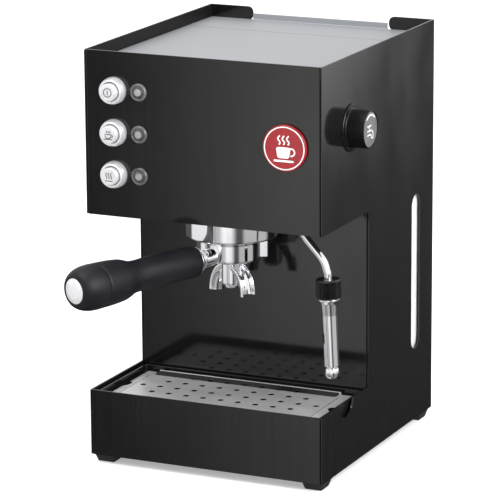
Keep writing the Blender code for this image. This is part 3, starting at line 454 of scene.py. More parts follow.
def merged(meshes):
    """Several meshes as one, without joining their surfaces."""
    shape = bmesh.new()
    for mesh in meshes:
        shape.from_mesh(mesh)
    made = bpy.data.meshes.new("merged")
    shape.to_mesh(made)
    shape.free()
    return made


def loft(rings, closed=False):
    """A body through rings of equally many points, with flat ends, or closed into a loop."""
    shape = bmesh.new()
    rings = [[shape.verts.new(point) for point in ring] for ring in rings]
    for ring, following in zip(rings, [*rings[1:], rings[0]] if closed else rings[1:]):
        for i in range(len(ring)):
            j = (i + 1) % len(ring)
            shape.faces.new((ring[i], ring[j], following[j], following[i]))
    if not closed:
        shape.faces.new(rings[0])
        shape.faces.new(rings[-1])
    return to_mesh(shape)


def arc(spot, radius, start, end, steps):
    """Points on an arc, with angles in degrees."""
    angles = [math.radians(start + (end - start) * i / steps) for i in range(steps + 1)]
    return [(spot[0] + radius * math.cos(a), spot[1] + radius * math.sin(a)) for a in angles]


def circle(spot, radius, steps=32):
    return arc(spot, radius, 0, 360, steps)[:-1]


def rounded(corners, radius, steps=5, closed=True):
    """An outline with round corners. A corner can carry its own radius as a third number."""
    outline = []
    last = len(corners) - 1
    for i, (u, v, *own) in enumerate(corners):
        here = Vector((u, v))
        reach = own[0] if own else radius
        if reach == 0 or (not closed and i in (0, last)):
            outline.append(here)
            continue
        before = Vector(corners[i - 1][:2]) - here
        after = Vector(corners[(i + 1) % len(corners)][:2]) - here
        half_angle = before.angle(after) / 2
        run = min(reach / math.tan(half_angle), before.length / 2, after.length / 2)
        start, end = here + before.normalized() * run, here + after.normalized() * run
        for step in range(steps + 1):
            t = step / steps
            outline.append(start * (1 - t) ** 2 + here * (2 * t * (1 - t)) + end * t**2)
    return outline


def prism(outline, low, high, axis):
    """A flat plate of this outline between two levels along an axis."""
    at = "XYZ".index(axis)
    shape = bmesh.new()
    floor, roof = ([shape.verts.new((*point[:at], level, *point[at:])) for point in outline]
                   for level in (low, high))
    shape.faces.new(floor)
    shape.faces.new(roof)
    for i in range(len(outline)):
        j = (i + 1) % len(outline)
        shape.faces.new((floor[i], floor[j], roof[j], roof[i]))
    return to_mesh(shape)


def rectangle(low_u, low_v, high_u, high_v):
    return [(low_u, low_v), (high_u, low_v), (high_u, high_v), (low_u, high_v)]


def inset(node, by=0):
    """The outline of a node seen from above, drawn in by this much."""
    low, high = local(node)
    return rectangle(low[0] + by, low[1] + by, high[0] - by, high[1] - by)


def lathe(profile, place, steps=96, ripple=0, depth=0, ripple_from=0):
    """A body turned about its own Z from (radius, height) pairs. It starts and ends on the axis, or else it
    is closed into a ring. A ripple runs that many waves round it, where the radius is over ripple_from."""
    shape = bmesh.new()
    on_axis = 1e-7
    rings = []
    for radius, height in profile:
        if radius < on_axis:
            rings.append([shape.verts.new((0, 0, height))] * steps)
            continue
        ring = []
        for i in range(steps):
            angle = 2 * math.pi * i / steps
            wave = depth * (0.5 - 0.5 * math.cos(ripple * angle)) if radius > ripple_from else 0
            reach = radius - wave
            ring.append(shape.verts.new((reach * math.cos(angle), reach * math.sin(angle), height)))
        rings.append(ring)
    pairs = list(zip(rings, rings[1:]))
    if profile[0][0] > on_axis:
        pairs.append((rings[-1], rings[0]))
    for upper, lower in pairs:
        for i in range(steps):
            j = (i + 1) % steps
            corners = list(dict.fromkeys((upper[i], upper[j], lower[j], lower[i])))
            if len(corners) > 2:
                shape.faces.new(corners)
    return to_mesh(shape, place)


def smooth_route(points, steps):
    """Points on a Catmull-Rom curve through the given ones."""
    points = [Vector(point) for point in points]
    padded = [2 * points[0] - points[1], *points, 2 * points[-1] - points[-2]]
    found = []
    for a, b, c, d in zip(padded, padded[1:], padded[2:], padded[3:]):
        for step in range(steps):
            t = step / steps
            bend = 2 * a - 5 * b + 4 * c - d
            twist = 3 * b - a - 3 * c + d
            found.append(0.5 * (2 * b + (c - a) * t + bend * t**2 + twist * t**3))
    return [*found, points[-1]]


def smooth_profile(pairs):
    """Pairs of radius and height on a smooth curve through the given ones."""
    return [(max(point.x, 0), point.y) for point in smooth_route(pairs, 6)]


def swept(route, radius, sides=24, flatten=1, closed=False):
    """A round tube along a route, its ends closed. Flatten makes it lower along Z."""
    rings = []
    count = len(route)
    across = None
    for i, point in enumerate(route):
        before = route[i - 1] if closed or i else route[0]
        after = route[(i + 1) % count] if closed or i < count - 1 else route[-1]
        along = (after - before).normalized()
        across = (across or along.orthogonal()) if flatten == 1 else Vector((0, 0, 1)).cross(along)
        across = (across - along * across.dot(along)).normalized()
        third = along.cross(across) * flatten
        angles = [2 * math.pi * k / sides for k in range(sides)]
        rings.append([point + (across * math.cos(a) + third * math.sin(a)) * radius for a in angles])
    return loft(rings, closed)


def strokes(lines, width, place):
    """Flat raised lines, as of a printed or engraved pictogram. Each line is a list of (u, v) points."""
    meshes = []
    for line in lines:
        closed = line[0] == line[-1]
        points = [Vector((u, v, 0)) for u, v in (line[:-1] if closed else line)]
        meshes.append(swept(points, width / 2, sides=8, flatten=0.3, closed=closed))
    made = merged(meshes)
    made.transform(place)
    return made


def placed(x, y, z, angle=0, axis="Z"):
    """A place, turned about one axis."""
    return Matrix.Translation((x, y, z)) @ Matrix.Rotation(angle, 4, axis)


def facing_front(x, z):
    """The place of a turned piece whose axis runs out of the front."""
    return placed(x, 0, z, math.pi / 2, "X")


# ---- casing ----
def side_panel(side):
    """A C-shaped sheet: head, column and base, with a tab bent round the back corner. The right one also
    has a finger notch beside the drip tray."""
    node = "right_side_panel" if side > 0 else "left_side_panel"
    edge = 0.0012
    notch = []
    if side > 0:
        dip = arc((NOTCH_Y, BASE_TOP - NOTCH_DEPTH + NOTCH_HALF), NOTCH_HALF, 190, 350, 40)
        notch = [(NOTCH_Y - NOTCH_HALF, BASE_TOP), *[(y, z, 0) for y, z in dip],
                 (NOTCH_Y + NOTCH_HALF, BASE_TOP)]
    outline = rounded([
        (0, HEAD_BOTTOM), (0, BODY_H, 2 * edge), (BODY_D, BODY_H, 2 * edge), (BODY_D, 0), (0, 0),
        (0, BASE_TOP), *notch, (COLUMN_FRONT, BASE_TOP, 0), (COLUMN_FRONT, HEAD_BOTTOM, 0),
    ], edge)
    inner, outer = sorted((side * INNER_X, side * HALF_W))
    panel = prism(outline, inner, outer, "X")

    tab_low, tab_high = BODY_H - TAB_H, BODY_H
    free_end = HALF_W - TAB_LENGTH
    tab = rounded([(HALF_W - SHEET / 2, tab_high, 0), (free_end, tab_high), (free_end, tab_low),
                   (HALF_W - SHEET / 2, tab_low, 0)], 0.49 * TAB_H, 12)
    tab = [(side * x, z) for x, z in tab]
    panel = combined(panel, [prism(tab, BODY_D - SHEET, BODY_D, "Y")], "UNION")
    if side > 0:
        half_w = SLOT_W / 2
        slot = [*arc((SLOT_Y, SLOT_Z + SLOT_H / 2 - half_w), half_w, 0, 180, 40),
                *arc((SLOT_Y, SLOT_Z - SLOT_H / 2 + half_w), half_w, 180, 360, 40)]
        knob_hole = circle((KNOB_Y, KNOB_Z), 0.004, 48)
        panel = combined(panel, [prism(slot, inner - SHEET, outer + SHEET, "X"),
                                 prism(knob_hole, inner - SHEET, outer + SHEET, "X")])
    grooves, groove = [], 0.001
    for y, low_z, high_z in (
            (0, HEAD_BOTTOM, BODY_H), (0, 0, BASE_TOP), (COLUMN_FRONT, BASE_TOP, HEAD_BOTTOM)):
        corner = [(side * (INNER_X - GAP), y - GAP), (side * (INNER_X + groove), y - GAP),
                  (side * (INNER_X - GAP), y + groove)]
        grooves.append(prism(corner, low_z - GAP, high_z + GAP, "Z"))
    panel = combined(panel, grooves)
    piece(node + "_sheet", panel, "black_enamel", node, bevel=0.0005)
    panel.materials.append(FINISHES["shaded_enamel"])
    for face in panel.polygons:
        face.material_index = int(side * face.normal.x < -0.5)


def plate(node, fold, holes=(), hole_axis="Y"):
    """A sheet folded back along its left and right edges, with round holes. A hole is (u, v, radius) across
    the hole axis."""
    low, high = local(node)
    outline = rounded([(low[0], low[1]), (high[0], low[1]), (high[0], high[1], 0.0002),
                       (low[0], high[1], 0.0002)], fold)
    mesh = prism(outline, low[2], high[2], "Z")
    axis = "XYZ".index(hole_axis)
    if holes:
        start, end = low[axis] - SHEET, high[axis] + SHEET
        mesh = combined(mesh, [prism(circle((u, v), r, 60), start, end, hole_axis) for u, v, r in holes])
    piece(node + "_sheet", mesh, "black_enamel", node, bevel=0.0002)


def casing_sheets():
    side_panel(-1)
    side_panel(1)
    fold = 0.001
    holes = []
    for z in CONTROL_ROWS.values():
        holes += [(BUTTON_X, z, CAP_R + 0.0007), (LAMP_X, z, LAMP_NECK_R + GAP)]
    plate("upper_front_panel", fold, holes)
    plate("base_front_panel", fold)
    plate("column_front_plate", fold)
    openings = [(0, GROUP_Y, 0.0346), (middle("wand_nut", 0), middle("wand_nut", 1), 0.007)]
    plate("head_underside_plate", 0.0003, openings, "Z")


def rear_sheet():
    """The back panel, with a hole for the power inlet."""
    low, high = local("rear_panel")
    (left, _, bottom), (right, _, top) = local("power_inlet")
    frame_w = 0.0022
    hole = rectangle(left + frame_w, bottom + frame_w, right - frame_w, top - frame_w)
    mesh = prism(rectangle(low[0], low[2], high[0], high[2]), low[1], high[1], "Y")
    mesh = combined(mesh, [prism(hole, low[1] - SHEET, high[1] + SHEET, "Y")])
    piece("rear_sheet", mesh, "black_enamel", "rear_panel", bevel=0.0005)


def top_plates():
    low, high = local("cup_tray")
    mesh = prism(inset("cup_tray"), low[2], high[2], "Z")
    hollow = prism(inset("cup_tray", SHEET), low[2] - SHEET, high[2] - SHEET, "Z")
    piece("cup_tray_sheet", combined(mesh, [hollow]), "warmer_steel", "cup_tray", bevel=0.0004)

    low, high = local("tank_lid")
    top = local("cup_tray")[1][2]
    lip_half = HALF_W - TAB_LENGTH - 0.001
    section = rounded([(low[1], top - SHEET), (high[1], top - SHEET), (high[1], high[2]),
                       (high[1] - SHEET, high[2]), (high[1] - SHEET, top, 0.001), (low[1], top, 0.0006)],
                      0.0005, 4)
    fold = prism(section, -lip_half, lip_half, "X")
    flat = prism(inset("tank_lid"), top - SHEET, top - 0.00002, "Z")
    reach, wall = 0.085, 0.002
    front, back = local("water_tank")[0][1] + 0.0045, local("water_tank")[1][1] - 0.0045
    plug = prism(rounded(rectangle(-reach, front, reach, back), 0.004), low[2], top - 0.0007, "Z")
    bore = prism(rounded(rectangle(wall - reach, front + wall, reach - wall, back - wall), 0.003),
                 low[2] - wall, top - SHEET, "Z")
    lid = combined(combined(flat, [fold, plug], "UNION"), [bore])
    piece("tank_lid_sheet", lid, "warmer_steel", "tank_lid", bevel=0.0004)


def foot(node):
    """A rubber foot: a pyramid cut short, wide end up, with a dished sole."""
    low, high = local(node)
    middle_x, middle_y = middle(node, 0), middle(node, 1)
    wide, narrow = half_width(node), 0.008
    rings = [[(middle_x + u * half, middle_y + v * half, z) for u, v in SQUARE] for half, z in (
        (wide, high[2]), (narrow, low[2]), (0.6 * narrow, low[2]), (0.5 * narrow, low[2] + 0.001))]
    piece(node + "_rubber", loft(rings), "black_rubber", node, bevel=0.0011, segments=4)


# ---- controls ----
def ring_line(radius, start=0, end=360, steps=40, spot=(0, 0)):
    points = arc(spot, radius, start, end, steps)
    if end - start == 360:
        points[-1] = points[0]
    return points


def power_mark():
    return [ring_line(0.0038), [(0, -0.0021), (0, 0.0021)]]


def brew_mark():
    """A cup on its saucer under three wisps of steam."""
    bowl = [(-0.0031, 0.0004), (-0.0027, -0.0018), (-0.0014, -0.003), (0.0014, -0.003), (0.0027, -0.0018),
            (0.0031, 0.0004), (-0.0031, 0.0004)]
    wisps = [[(x, 0.0016), (x + 0.0005, 0.0026), (x, 0.0036)] for x in (-0.0017, 0, 0.0017)]
    return [bowl, ring_line(0.0012, -80, 80, 10, (0.0032, -0.0009)), [(-0.0044, -0.004), (0.0044, -0.004)],
            *wisps]


def steam_mark():
    """Three rising wavy lines over a bar."""
    waves = []
    for x in (-0.0023, 0, 0.0023):
        waves.append([(x + 0.0006 * math.sin(step), 0.0008 * step - 0.002) for step in range(8)])
    return [*waves, [(-0.0038, -0.0038), (0.0038, -0.0038)]]


def control_row(row, z, mark):
    """A push button in its domed bezel, and its lamp: a ring, a grey lens and a pale core."""
    place = facing_front(BUTTON_X, z)
    bore = CAP_R + 0.0004
    bezel_r, crest = half_width(row + "_bezel"), -local(row + "_bezel")[0][1]
    bezel = smooth_profile([
        (bore, crest - 0.0022), (bore + 0.0007, crest - 0.0008), (bore + 0.0017, crest),
        (bore + 0.0026, crest - 0.0006), (bezel_r - 0.0006, crest - 0.003), (bezel_r - 0.00005, 0.004),
        (bezel_r, GAP)])
    bezel.append((bore, GAP))
    piece(row + "_bezel_turned", lathe(bezel, place), "satin_silver", row + "_bezel")
    cap = rounded([
        (0, CAP_REACH), (CAP_R, CAP_REACH, 0.0011), (CAP_R, 0.002, 0.0004), (0, 0.002)],
        0.0016, 10, closed=False)
    piece(row + "_cap_turned", lathe(cap, place), "satin_silver", row + "_button")
    face = place @ placed(0, 0, CAP_REACH)
    piece(row + "_mark", strokes(mark, 0.00076, face), "grey_ink", row + "_button", extra=True)

    lamp = facing_front(LAMP_X, z)
    lens_r = 0.0057
    collar = rounded([
        (lens_r, 0.0022), (lens_r + 0.0009, 0.0031, 0.0006), (LAMP_R, 0.0016, 0.0008), (LAMP_R, GAP, 0),
        (lens_r, GAP, 0)], 0.0003, 8)
    piece(row + "_lamp_collar", lathe(collar, lamp), "lamp_grey", row + "_lamp")
    bulge = [(lens_r * u, 0.0016 + 0.0014 * v) for u, v in arc((0, 0), 1, 80, 0, 8)]
    dome = [(0, 0.003), *bulge, (lens_r - 0.0001, -0.014), (0, -0.014)]
    piece(row + "_lamp_dome", lathe(dome, lamp), "lamp_lens", row + "_lamp", extra=True)
    core = rounded([(0, 0.0038), (0.0031, 0.0036, 0.0006), (0.0033, 0.0016)], 0.0004, 6, closed=False)
    core.append((0, 0.0016))
    piece(row + "_lamp_core", lathe(core, lamp), "lamp_core", row + "_lamp", extra=True)


def badge():
    """A red disc with a white ring near its edge and a plain drawing of a steaming cup."""
    place = facing_front(BADGE_X, BADGE_Z)
    low, high = local("badge")
    radius, top = half_width("badge"), high[1] - low[1] + GAP
    face = rounded([(0, top), (radius, top, 0.001), (radius, GAP, 0.0002), (0, GAP)], 0.001, 8,
                   closed=False)
    piece("badge_disc", lathe(face, place), "red_enamel", "badge")
    front = place @ placed(0, 0, top)
    ring_r = radius - 0.0024
    band = lathe([(ring_r, top + 0.00012), (ring_r + 0.001, top + 0.00012), (ring_r + 0.001, top - 0.0002),
                  (ring_r, top - 0.0002)], place)
    cup = rounded([(-0.008, 0.001), (-0.0062, -0.0088), (0.0044, -0.0088), (0.0062, 0.001)], 0.0026, 8)
    saucer = rounded(rectangle(-0.01, -0.0122, 0.009, -0.0104), 0.0009, 6)
    solid = [prism(outline, -0.0002, 0.00012, "Z") for outline in (cup, saucer)]
    for shape in solid:
        shape.transform(front)
    handle = ring_line(0.0032, -100, 110, 24, (0.0066, -0.0032))
    wisps = [[(x + 0.0011 * math.sin(0.9 * i), 0.0032 + 0.001 * i) for i in range(9)]
             for x in (-0.005, -0.0008, 0.0034)]
    printed = merged([band, *solid, strokes([handle, *wisps], 0.0013, front)])
    piece("badge_print", printed, "white_ink", "badge", extra=True)


def steam_knob():
    """A flanged knob with a sunk grey face that carries an arc and a tap."""
    place = placed(HALF_W, KNOB_Y, KNOB_Z, math.pi / 2, "Y")
    low, high = local("steam_knob")
    flange_r, reach = (high[2] - low[2]) / 2, high[0] - HALF_W
    grip_r = flange_r - 0.0043
    face_r, pocket = grip_r - 0.0011, reach - 0.0022
    bore = 0.0033
    knob = rounded([
        (0, pocket), (face_r, pocket, 0), (face_r, reach), (grip_r, reach, 0.0007), (grip_r, 0.0018, 0.0012),
        (flange_r - 0.0005, 0.0015), (flange_r, 0.001, 0.0004), (flange_r, GAP, 0.0002), (bore, GAP, 0),
        (bore, 0.01, 0), (0, 0.01)], 0.0003, 6, closed=False)
    piece("steam_knob_turned", lathe(knob, place), "black_plastic", "steam_knob")
    top = pocket + 0.0018
    rim, seat = face_r - GAP, pocket + GAP
    insert = rounded([(0, top), (rim, top - 0.0004), (rim, seat), (0, seat)],
                     0.0003, 5, closed=False)
    piece("knob_insert_turned", lathe(insert, place), "grey_plastic", "knob_insert")
    face = place @ placed(0, 0, top - 0.0001, math.pi / 2)
    sweep = ring_line(0.013, 48, 132, 24)
    tap = [[(-0.0072, -0.001), (0.0024, -0.001), (0.0056, -0.0034), (0.0056, -0.0082)],
           [(-0.0072, -0.0046), (0.0004, -0.0046), (0.0018, -0.006), (0.0018, -0.0082), (0.0056, -0.0082)],
           [(-0.003, -0.001), (-0.003, 0.003)], [(-0.007, 0.0034), (0.0014, 0.0034)]]
    marks = merged([strokes([sweep], 0.0014, face), strokes(tap, 0.001, face)])
    piece("knob_marks", marks, "white_ink", "knob_insert", extra=True)


# ---- brew group ----
def group_ring():
    low, high = local("group_ring")
    bottom, top = low[2], high[2]
    outer = half_width("group_ring")
    lip, room = outer - 0.0075, outer - 0.0035
    ring = rounded([
        (outer - 0.007, top, 0.0002), (outer, top, 0.0006), (outer, bottom, 0.0022), (lip, bottom, 0.0006),
        (lip, bottom + 0.005, 0.0004), (room, bottom + 0.005), (room, 0.2165), (outer - 0.007, 0.2175)],
        0.0003, 6)
    piece("group_ring_turned", lathe(ring, placed(0, GROUP_Y, 0), 128), "chrome", "group_ring")


def sector(inner, outer, start, end, steps=24):
    """The outline of a piece of a flat ring."""
    return [*arc((0, 0), outer, start, end, steps), *arc((0, 0), inner, end, start, steps)]


def portafilter():
    """All of it turns about the group's upright axis. The handle lies along its own -Y."""
    pivot = placed(0, GROUP_Y, 0, -HANDLE_SIDE)
    axis = pivot @ placed(0, 0, HANDLE_Z, math.pi / 2 + HANDLE_DROOP, "X")
    rim_z = local("portafilter_body")[1][2]
    cup_r, cup_z, drain_r, wide_r, bowl_r = 0.0255, 0.1815, 0.0035, 0.0322, 0.0232
    cup = rounded([
        (bowl_r, rim_z, 0.0003), (wide_r, rim_z, 0.0006), (wide_r, 0.207, 0.0016),
        (cup_r + 0.0006, 0.203, 0.004), (cup_r, 0.1985, 0.003), (cup_r, cup_z, 0.003),
        (BOSS_R, cup_z, 0.0004), (BOSS_R, BOSS_Z, 0.0004),
        (drain_r, BOSS_Z, 0.0004), (drain_r, cup_z + 0.0022, 0.0006), (0.0205, cup_z + 0.003, 0.003),
        (bowl_r, cup_z + 0.006)],
        0.001, 10)
    parts = [lathe(cup, pivot, 128)]
    for start in (LUG_START, LUG_START + 180):
        lug = prism(sector(0.024, 0.0325, start, start + LUG_SWEEP), 0.183, 0.213, "Z")
        ear = prism(sector(0.03, 0.0372, start + 2, start + LUG_SWEEP - 2), 0.21, 0.215, "Z")
        for mesh, corner in ((lug, 0.0028), (ear, 0.0009)):
            mesh = bevelled(mesh, corner, 6)
            mesh.transform(pivot)
            parts.append(mesh)
    start = HANDLE_START
    neck = rounded([
        (0, 0.0778), (0.005, 0.0778), (0.005, start - GAP, 0.0003), (0.0132, start - GAP, 0.0008),
        (0.0126, start - 0.003, 0.002), (0.0084, start - 0.008, 0.006), (0.0079, cup_r + 0.003, 0.002),
        (0.0079, cup_r - 0.001), (0, cup_r - 0.001)], 0.0004, 8, closed=False)
    parts.append(lathe(neck, axis))
    piece("portafilter_body_turned", merged(parts), "chrome", "portafilter_body")

    end = HANDLE_END
    disc_r, disc_z = 0.0118, end - 0.0025
    outside = smooth_profile([
        (0.0132, end - 0.0004), (0.016, end - 0.0026), (0.0184, end - 0.007), (0.0199, end - 0.013),
        (0.0204, end - 0.02), (0.0202, CREASE_Z + 0.0016)])
    throat = smooth_profile([
        (0.0202, CREASE_Z - 0.0006), (0.0198, 0.148), (0.0192, 0.14), (0.0184, 0.134), (0.0169, 0.129),
        (0.0152, 0.1245), (0.0143, 0.119), (0.0142, 0.112), (0.0147, 0.1), (0.0148, 0.08),
        (0.0144, 0.056), (0.014, start + 0.0012), (0.013, start)])
    crease = [(0.0198, CREASE_Z + 0.0008), (0.0195, CREASE_Z + 0.0003)]
    handle = [(0, disc_z), (disc_r, disc_z), (disc_r, end - 0.0002), *outside, *crease, *throat,
              (0.0053, start), (0.0053, 0.079), (0, 0.079)]
    piece("portafilter_handle_moulded", lathe(handle, axis), "grip_plastic", "portafilter_handle")
    disc = rounded([
        (0, end + 0.001), (disc_r * 0.6, end + 0.0007, 0.004), (disc_r - 0.001, end - 0.0001, 0.0006),
        (disc_r - GAP, end - 0.0006, 0.0003), (disc_r - GAP, disc_z + GAP), (0, disc_z + GAP)],
        0.0002, 6, closed=False)
    piece("handle_end_disc", lathe(disc, axis), "satin_silver", "handle_end_cap")
    twin_spout(pivot)


def twin_spout(pivot):
    """A hub with two open channels that curve outwards and down."""
    low, high = local("portafilter_spout")
    top, bottom, end_z = high[2], 0.1545, low[2]
    hub = rounded([(0, top), (BOSS_R, top, 0.0006), (BOSS_R, bottom + 0.0046, 0.004),
                   (0.0064, bottom + 0.0006, 0.003), (0, bottom)], 0.001, 10, closed=False)
    parts = [lathe(hub, pivot)]
    start_z = top - 0.0017
    for side in (-1, 1):
        route = []
        for i in range(33):
            angle = math.radians(90 * i / 32)
            route.append(Vector((side * (0.003 + SPOUT_RUN * math.sin(angle)), 0,
                                 start_z - (start_z - end_z) * (1 - math.cos(angle)))))
        arm = channel(route, side)
        arm.transform(pivot)
        parts.append(arm)
    piece("portafilter_spout_cast", merged(parts), "chrome", "portafilter_spout")


def channel(route, side):
    """A half pipe along the route in the XZ plane, open on its outer side, with rounded lips."""
    outer, wall = 0.008, 0.0016
    half = wall / 2
    lip_high, lip_low = (arc((centre, 0), half, 30, 150, 4) for centre in (outer - half, half - outer))
    profile = [*arc((0, 0), outer, 180, 360, 28), *lip_high, *arc((0, 0), outer - wall, 360, 180, 28),
               *lip_low]
    across = Vector((0, 1, 0))
    rings = []
    for i, point in enumerate(route):
        along = (route[min(i + 1, len(route) - 1)] - route[max(i - 1, 0)]).normalized()
        outwards = along.cross(across) * side
        rings.append([point + across * u + outwards * v for u, v in profile])
    return loft(rings)


# ---- steam wand ----
def steam_wand():
    low, high = local("wand_nut")
    wand_x, wand_y = middle("wand_nut", 0), middle("wand_nut", 1)
    tube_r, nut_r = 0.0036, half_width("wand_nut")
    nut = rounded([(tube_r + 0.0012, high[2], 0), (nut_r, high[2], 0.0006), (nut_r, low[2] + 0.0025, 0.001),
                   (0.0085, low[2], 0.001), (tube_r + 0.0012, low[2], 0.0003)], 0.0003, 6)
    piece("wand_nut_turned", lathe(nut, placed(wand_x, wand_y, 0)), "chrome", "wand_nut")

    frother = placed(COLLAR_X, COLLAR_Y, COLLAR_Z, -WAND_LEAN, "Y")
    shift_x, shift_y = COLLAR_X - wand_x, COLLAR_Y - wand_y
    inside = COLLAR_Z - COLLAR_H - 0.012
    route = smooth_route([(wand_x + x, wand_y + y, z) for x, y, z in (
        (0, 0, BALL_Z), (0, 0, BALL_Z - 0.0125), (0.0035, -0.0004, 0.2125), (0.0165, -0.002, 0.199),
        (0.0215, -0.0027, 0.193), (shift_x - 0.0015, shift_y, 0.186), (shift_x, shift_y, COLLAR_Z),
        (shift_x + math.tan(WAND_LEAN) * (COLLAR_Z - inside), shift_y, inside))], 10)
    ball_r = 0.0058
    ball = [(max(x, 0), z) for x, z in arc((0, 0), ball_r, 90, -90, 30)]
    parts = [swept(route, tube_r, 40), lathe(ball, placed(wand_x, wand_y, BALL_Z), 48)]
    piece("steam_wand_tube", merged(parts), "chrome", "steam_wand")

    bore, chamfer = tube_r + 0.0006, COLLAR_R - 0.0014
    collar = rounded([(bore, 0, 0), (chamfer, 0, 0.0004), (COLLAR_R, -0.0016, 0.0006),
                      (COLLAR_R, 0.0016 - COLLAR_H, 0.0006), (chamfer, -COLLAR_H, 0.0004),
                      (bore, -COLLAR_H, 0)], 0.0004, 5)
    knurled = lathe(collar, frother, 240, ripple=36, depth=0.001, ripple_from=COLLAR_R - 0.0003)
    piece("wand_collar_moulded", knurled, "black_plastic", "wand_collar")

    top, groove = -COLLAR_H - GAP, -0.08
    sleeve = rounded([
        (bore, top, 0), (0.0098, top, 0.0004), (0.0098, top - 0.0014, 0.0006), (0.0076, top - 0.0048, 0.004),
        (0.007, top - 0.015, 0.004), (0.0068, groove, 0.0005), (0.005, groove, 0),
        (0.005, groove + 0.01, 0), (bore, groove + 0.012, 0)], 0.0004, 8)
    piece("frother_sleeve_turned", lathe(sleeve, frother), "chrome", "frother_sleeve")
    tip = smooth_profile([(radius, groove + z) for radius, z in (
        (0.0046, -0.001), (0.0058, -0.0025), (0.0064, -0.0055), (0.0061, -0.0085), (0.005, -0.0106),
        (0.003, -0.0112), (0, -0.0112))])
    profile = [(0, groove + 0.008), (0.0046, groove + 0.008), *tip]
    piece("frother_tip_turned", lathe(profile, frother), "chrome", "frother_tip")


# ---- drip area ----
def drip_tray():
    low, high = local("drip_tray")
    wall, ledge, ledge_z, corner = 0.002, 0.0085, LEDGE_Z, 0.003
    outside = rounded(inset("drip_tray"), corner, 8)
    pocket = rounded(inset("drip_tray", wall), 0.0015, 6)
    hollow = rounded(inset("drip_tray", ledge), 0.006, 8)
    mesh = combined(prism(outside, low[2], high[2], "Z"),
                    [prism(pocket, ledge_z, high[2] + wall, "Z"),
                     prism(hollow, low[2] + wall, high[2] + wall, "Z")])
    piece("drip_tray_moulded", mesh, "gloss_plastic", "drip_tray", bevel=0.0002)


def grill_holes(middle_y, half_x, z):
    """Cutters for the drip grill: its rows of round holes, and a finger notch at each end."""
    spots = []
    for row, count in enumerate(HOLE_ROWS):
        y = middle_y + (row - len(HOLE_ROWS) // 2) * HOLE_PITCH
        spots += [(((i - (count - 1) / 2) * HOLE_PITCH, y), HOLE_R, 32) for i in range(count)]
    spots += [((side * (half_x + FINGER_R - FINGER_DEPTH), middle_y), FINGER_R, 72) for side in (-1, 1)]
    return merged([prism(circle(*spot), z - CUT, z + CUT, "Z") for spot in spots])


def drip_grill():
    """A stainless plate with a flat field of round holes, its edges pressed down, a lip at its back and a
    polished channel in front of the lip."""
    low, high = local("drip_grill")
    middle_y = middle("drip_grill", 1)
    half_x, half_y = half_width("drip_grill"), (high[1] - low[1]) / 2
    thick, bend = 0.0012, 0.0016
    rim_z = LEDGE_Z + GAP + thick
    rings = [[(u * x, middle_y + v * y, rim_z + z) for u, v in SQUARE] for x, y, z in (
        (FIELD_HALF_X - bend, FIELD_HALF_Y - bend, GRILL_RISE),
        (FIELD_HALF_X, FIELD_HALF_Y, GRILL_RISE - 0.00009), (half_x, half_y, 0), (half_x, half_y, -thick),
        (FIELD_HALF_X, FIELD_HALF_Y, GRILL_RISE - thick))]
    back, lip_t, lip_top = middle_y + half_y, 0.001, high[2] + 0.0012
    lip = prism(rounded([(back - lip_t, rim_z - thick / 2, 0), (back, rim_z - thick / 2, 0), (back, lip_top),
                         (back - lip_t, lip_top)], 0.00045, 5), -LIP_HALF_X, LIP_HALF_X, "X")
    crease = 0.00025
    creases = [prism(rectangle(x - crease, middle_y - half_y - GAP, x + crease, middle_y + FIELD_HALF_Y),
                     rim_z, rim_z + CUT, "Z") for x in (-FIELD_HALF_X, FIELD_HALF_X)]
    mesh = combined(combined(loft(rings), [lip], "UNION"),
                    [grill_holes(middle_y, half_x, rim_z), *creases])
    piece("drip_grill_pressed", mesh, "satin_steel", "drip_grill", bevel=0.00018)
    mesh.materials.append(FINISHES["polished_steel"])
    upright = 0.5
    for face in mesh.polygons:
        on_lip = face.center.y > ORIGIN.y + back - 0.0012
        face.material_index = int(abs(face.normal.z) < upright and not on_lip)
    near, far, sunk, slope = middle_y + FIELD_HALF_Y + 0.0004, back - 0.0011, 0.0003, 0.08
    outline = rounded(rectangle(-LIP_HALF_X, near, LIP_HALF_X, far), 0.006, 10)
    strip = prism(outline, rim_z - thick / 2, rim_z + GRILL_RISE - sunk, "Z")
    strip.transform(Matrix(((1, 0, 0, 0), (0, 1, 0, 0), (0, slope, 1, -slope * near), (0, 0, 0, 1))))
    piece("drip_grill_channel", combined(strip, [grill_holes(middle_y, half_x, rim_z)]), "polished_steel",
          "drip_grill", bevel=0.00035, extra=True)


# ---- water tank ----
def tank_outline(by):
    radii = 0.008 - by, 0.008 - by, 0.025 - by, 0.025 - by
    return rounded([(*corner, radius) for corner, radius in zip(inset("water_tank", by), radii)], 0, 14)


def water_tank():
    low, high = local("water_tank")
    wall, bore_r = 0.002, 0.0043
    valve = prism(circle((0, middle("tank_valve", 1)), bore_r), low[2] - wall, low[2] + 2 * wall, "Z")
    mesh = combined(prism(tank_outline(0), low[2], high[2], "Z"),
                    [prism(tank_outline(wall), low[2] + wall, high[2] + wall, "Z"), valve])
    piece("water_tank_moulded", mesh, "clear_plastic", "water_tank", bevel=0.0006)


# ---- what stays from the CAD ----
def dress_cad():
    """Finishes for the nodes whose shape already serves. Boxy ones get softened edges."""
    softened = {"bay_partition": 0.0004, "base_plate": 0.0004, "power_switch": 0.0006, "brew_switch": 0.0006,
                "steam_switch": 0.0006, "pump_bracket": 0.0005, "tank_socket": 0.0005, "power_inlet": 0.0004,
                "steam_valve": 0.0003}
    for node, obj in frame["nodes"].items():
        if obj.hide_render:
            continue
        slot = obj.data.materials[0].name.split(".")[0]
        obj.data.materials.clear()
        obj.data.materials.append(FINISHES[slot])
        if node in softened:
            soften(obj, softened[node], 2)


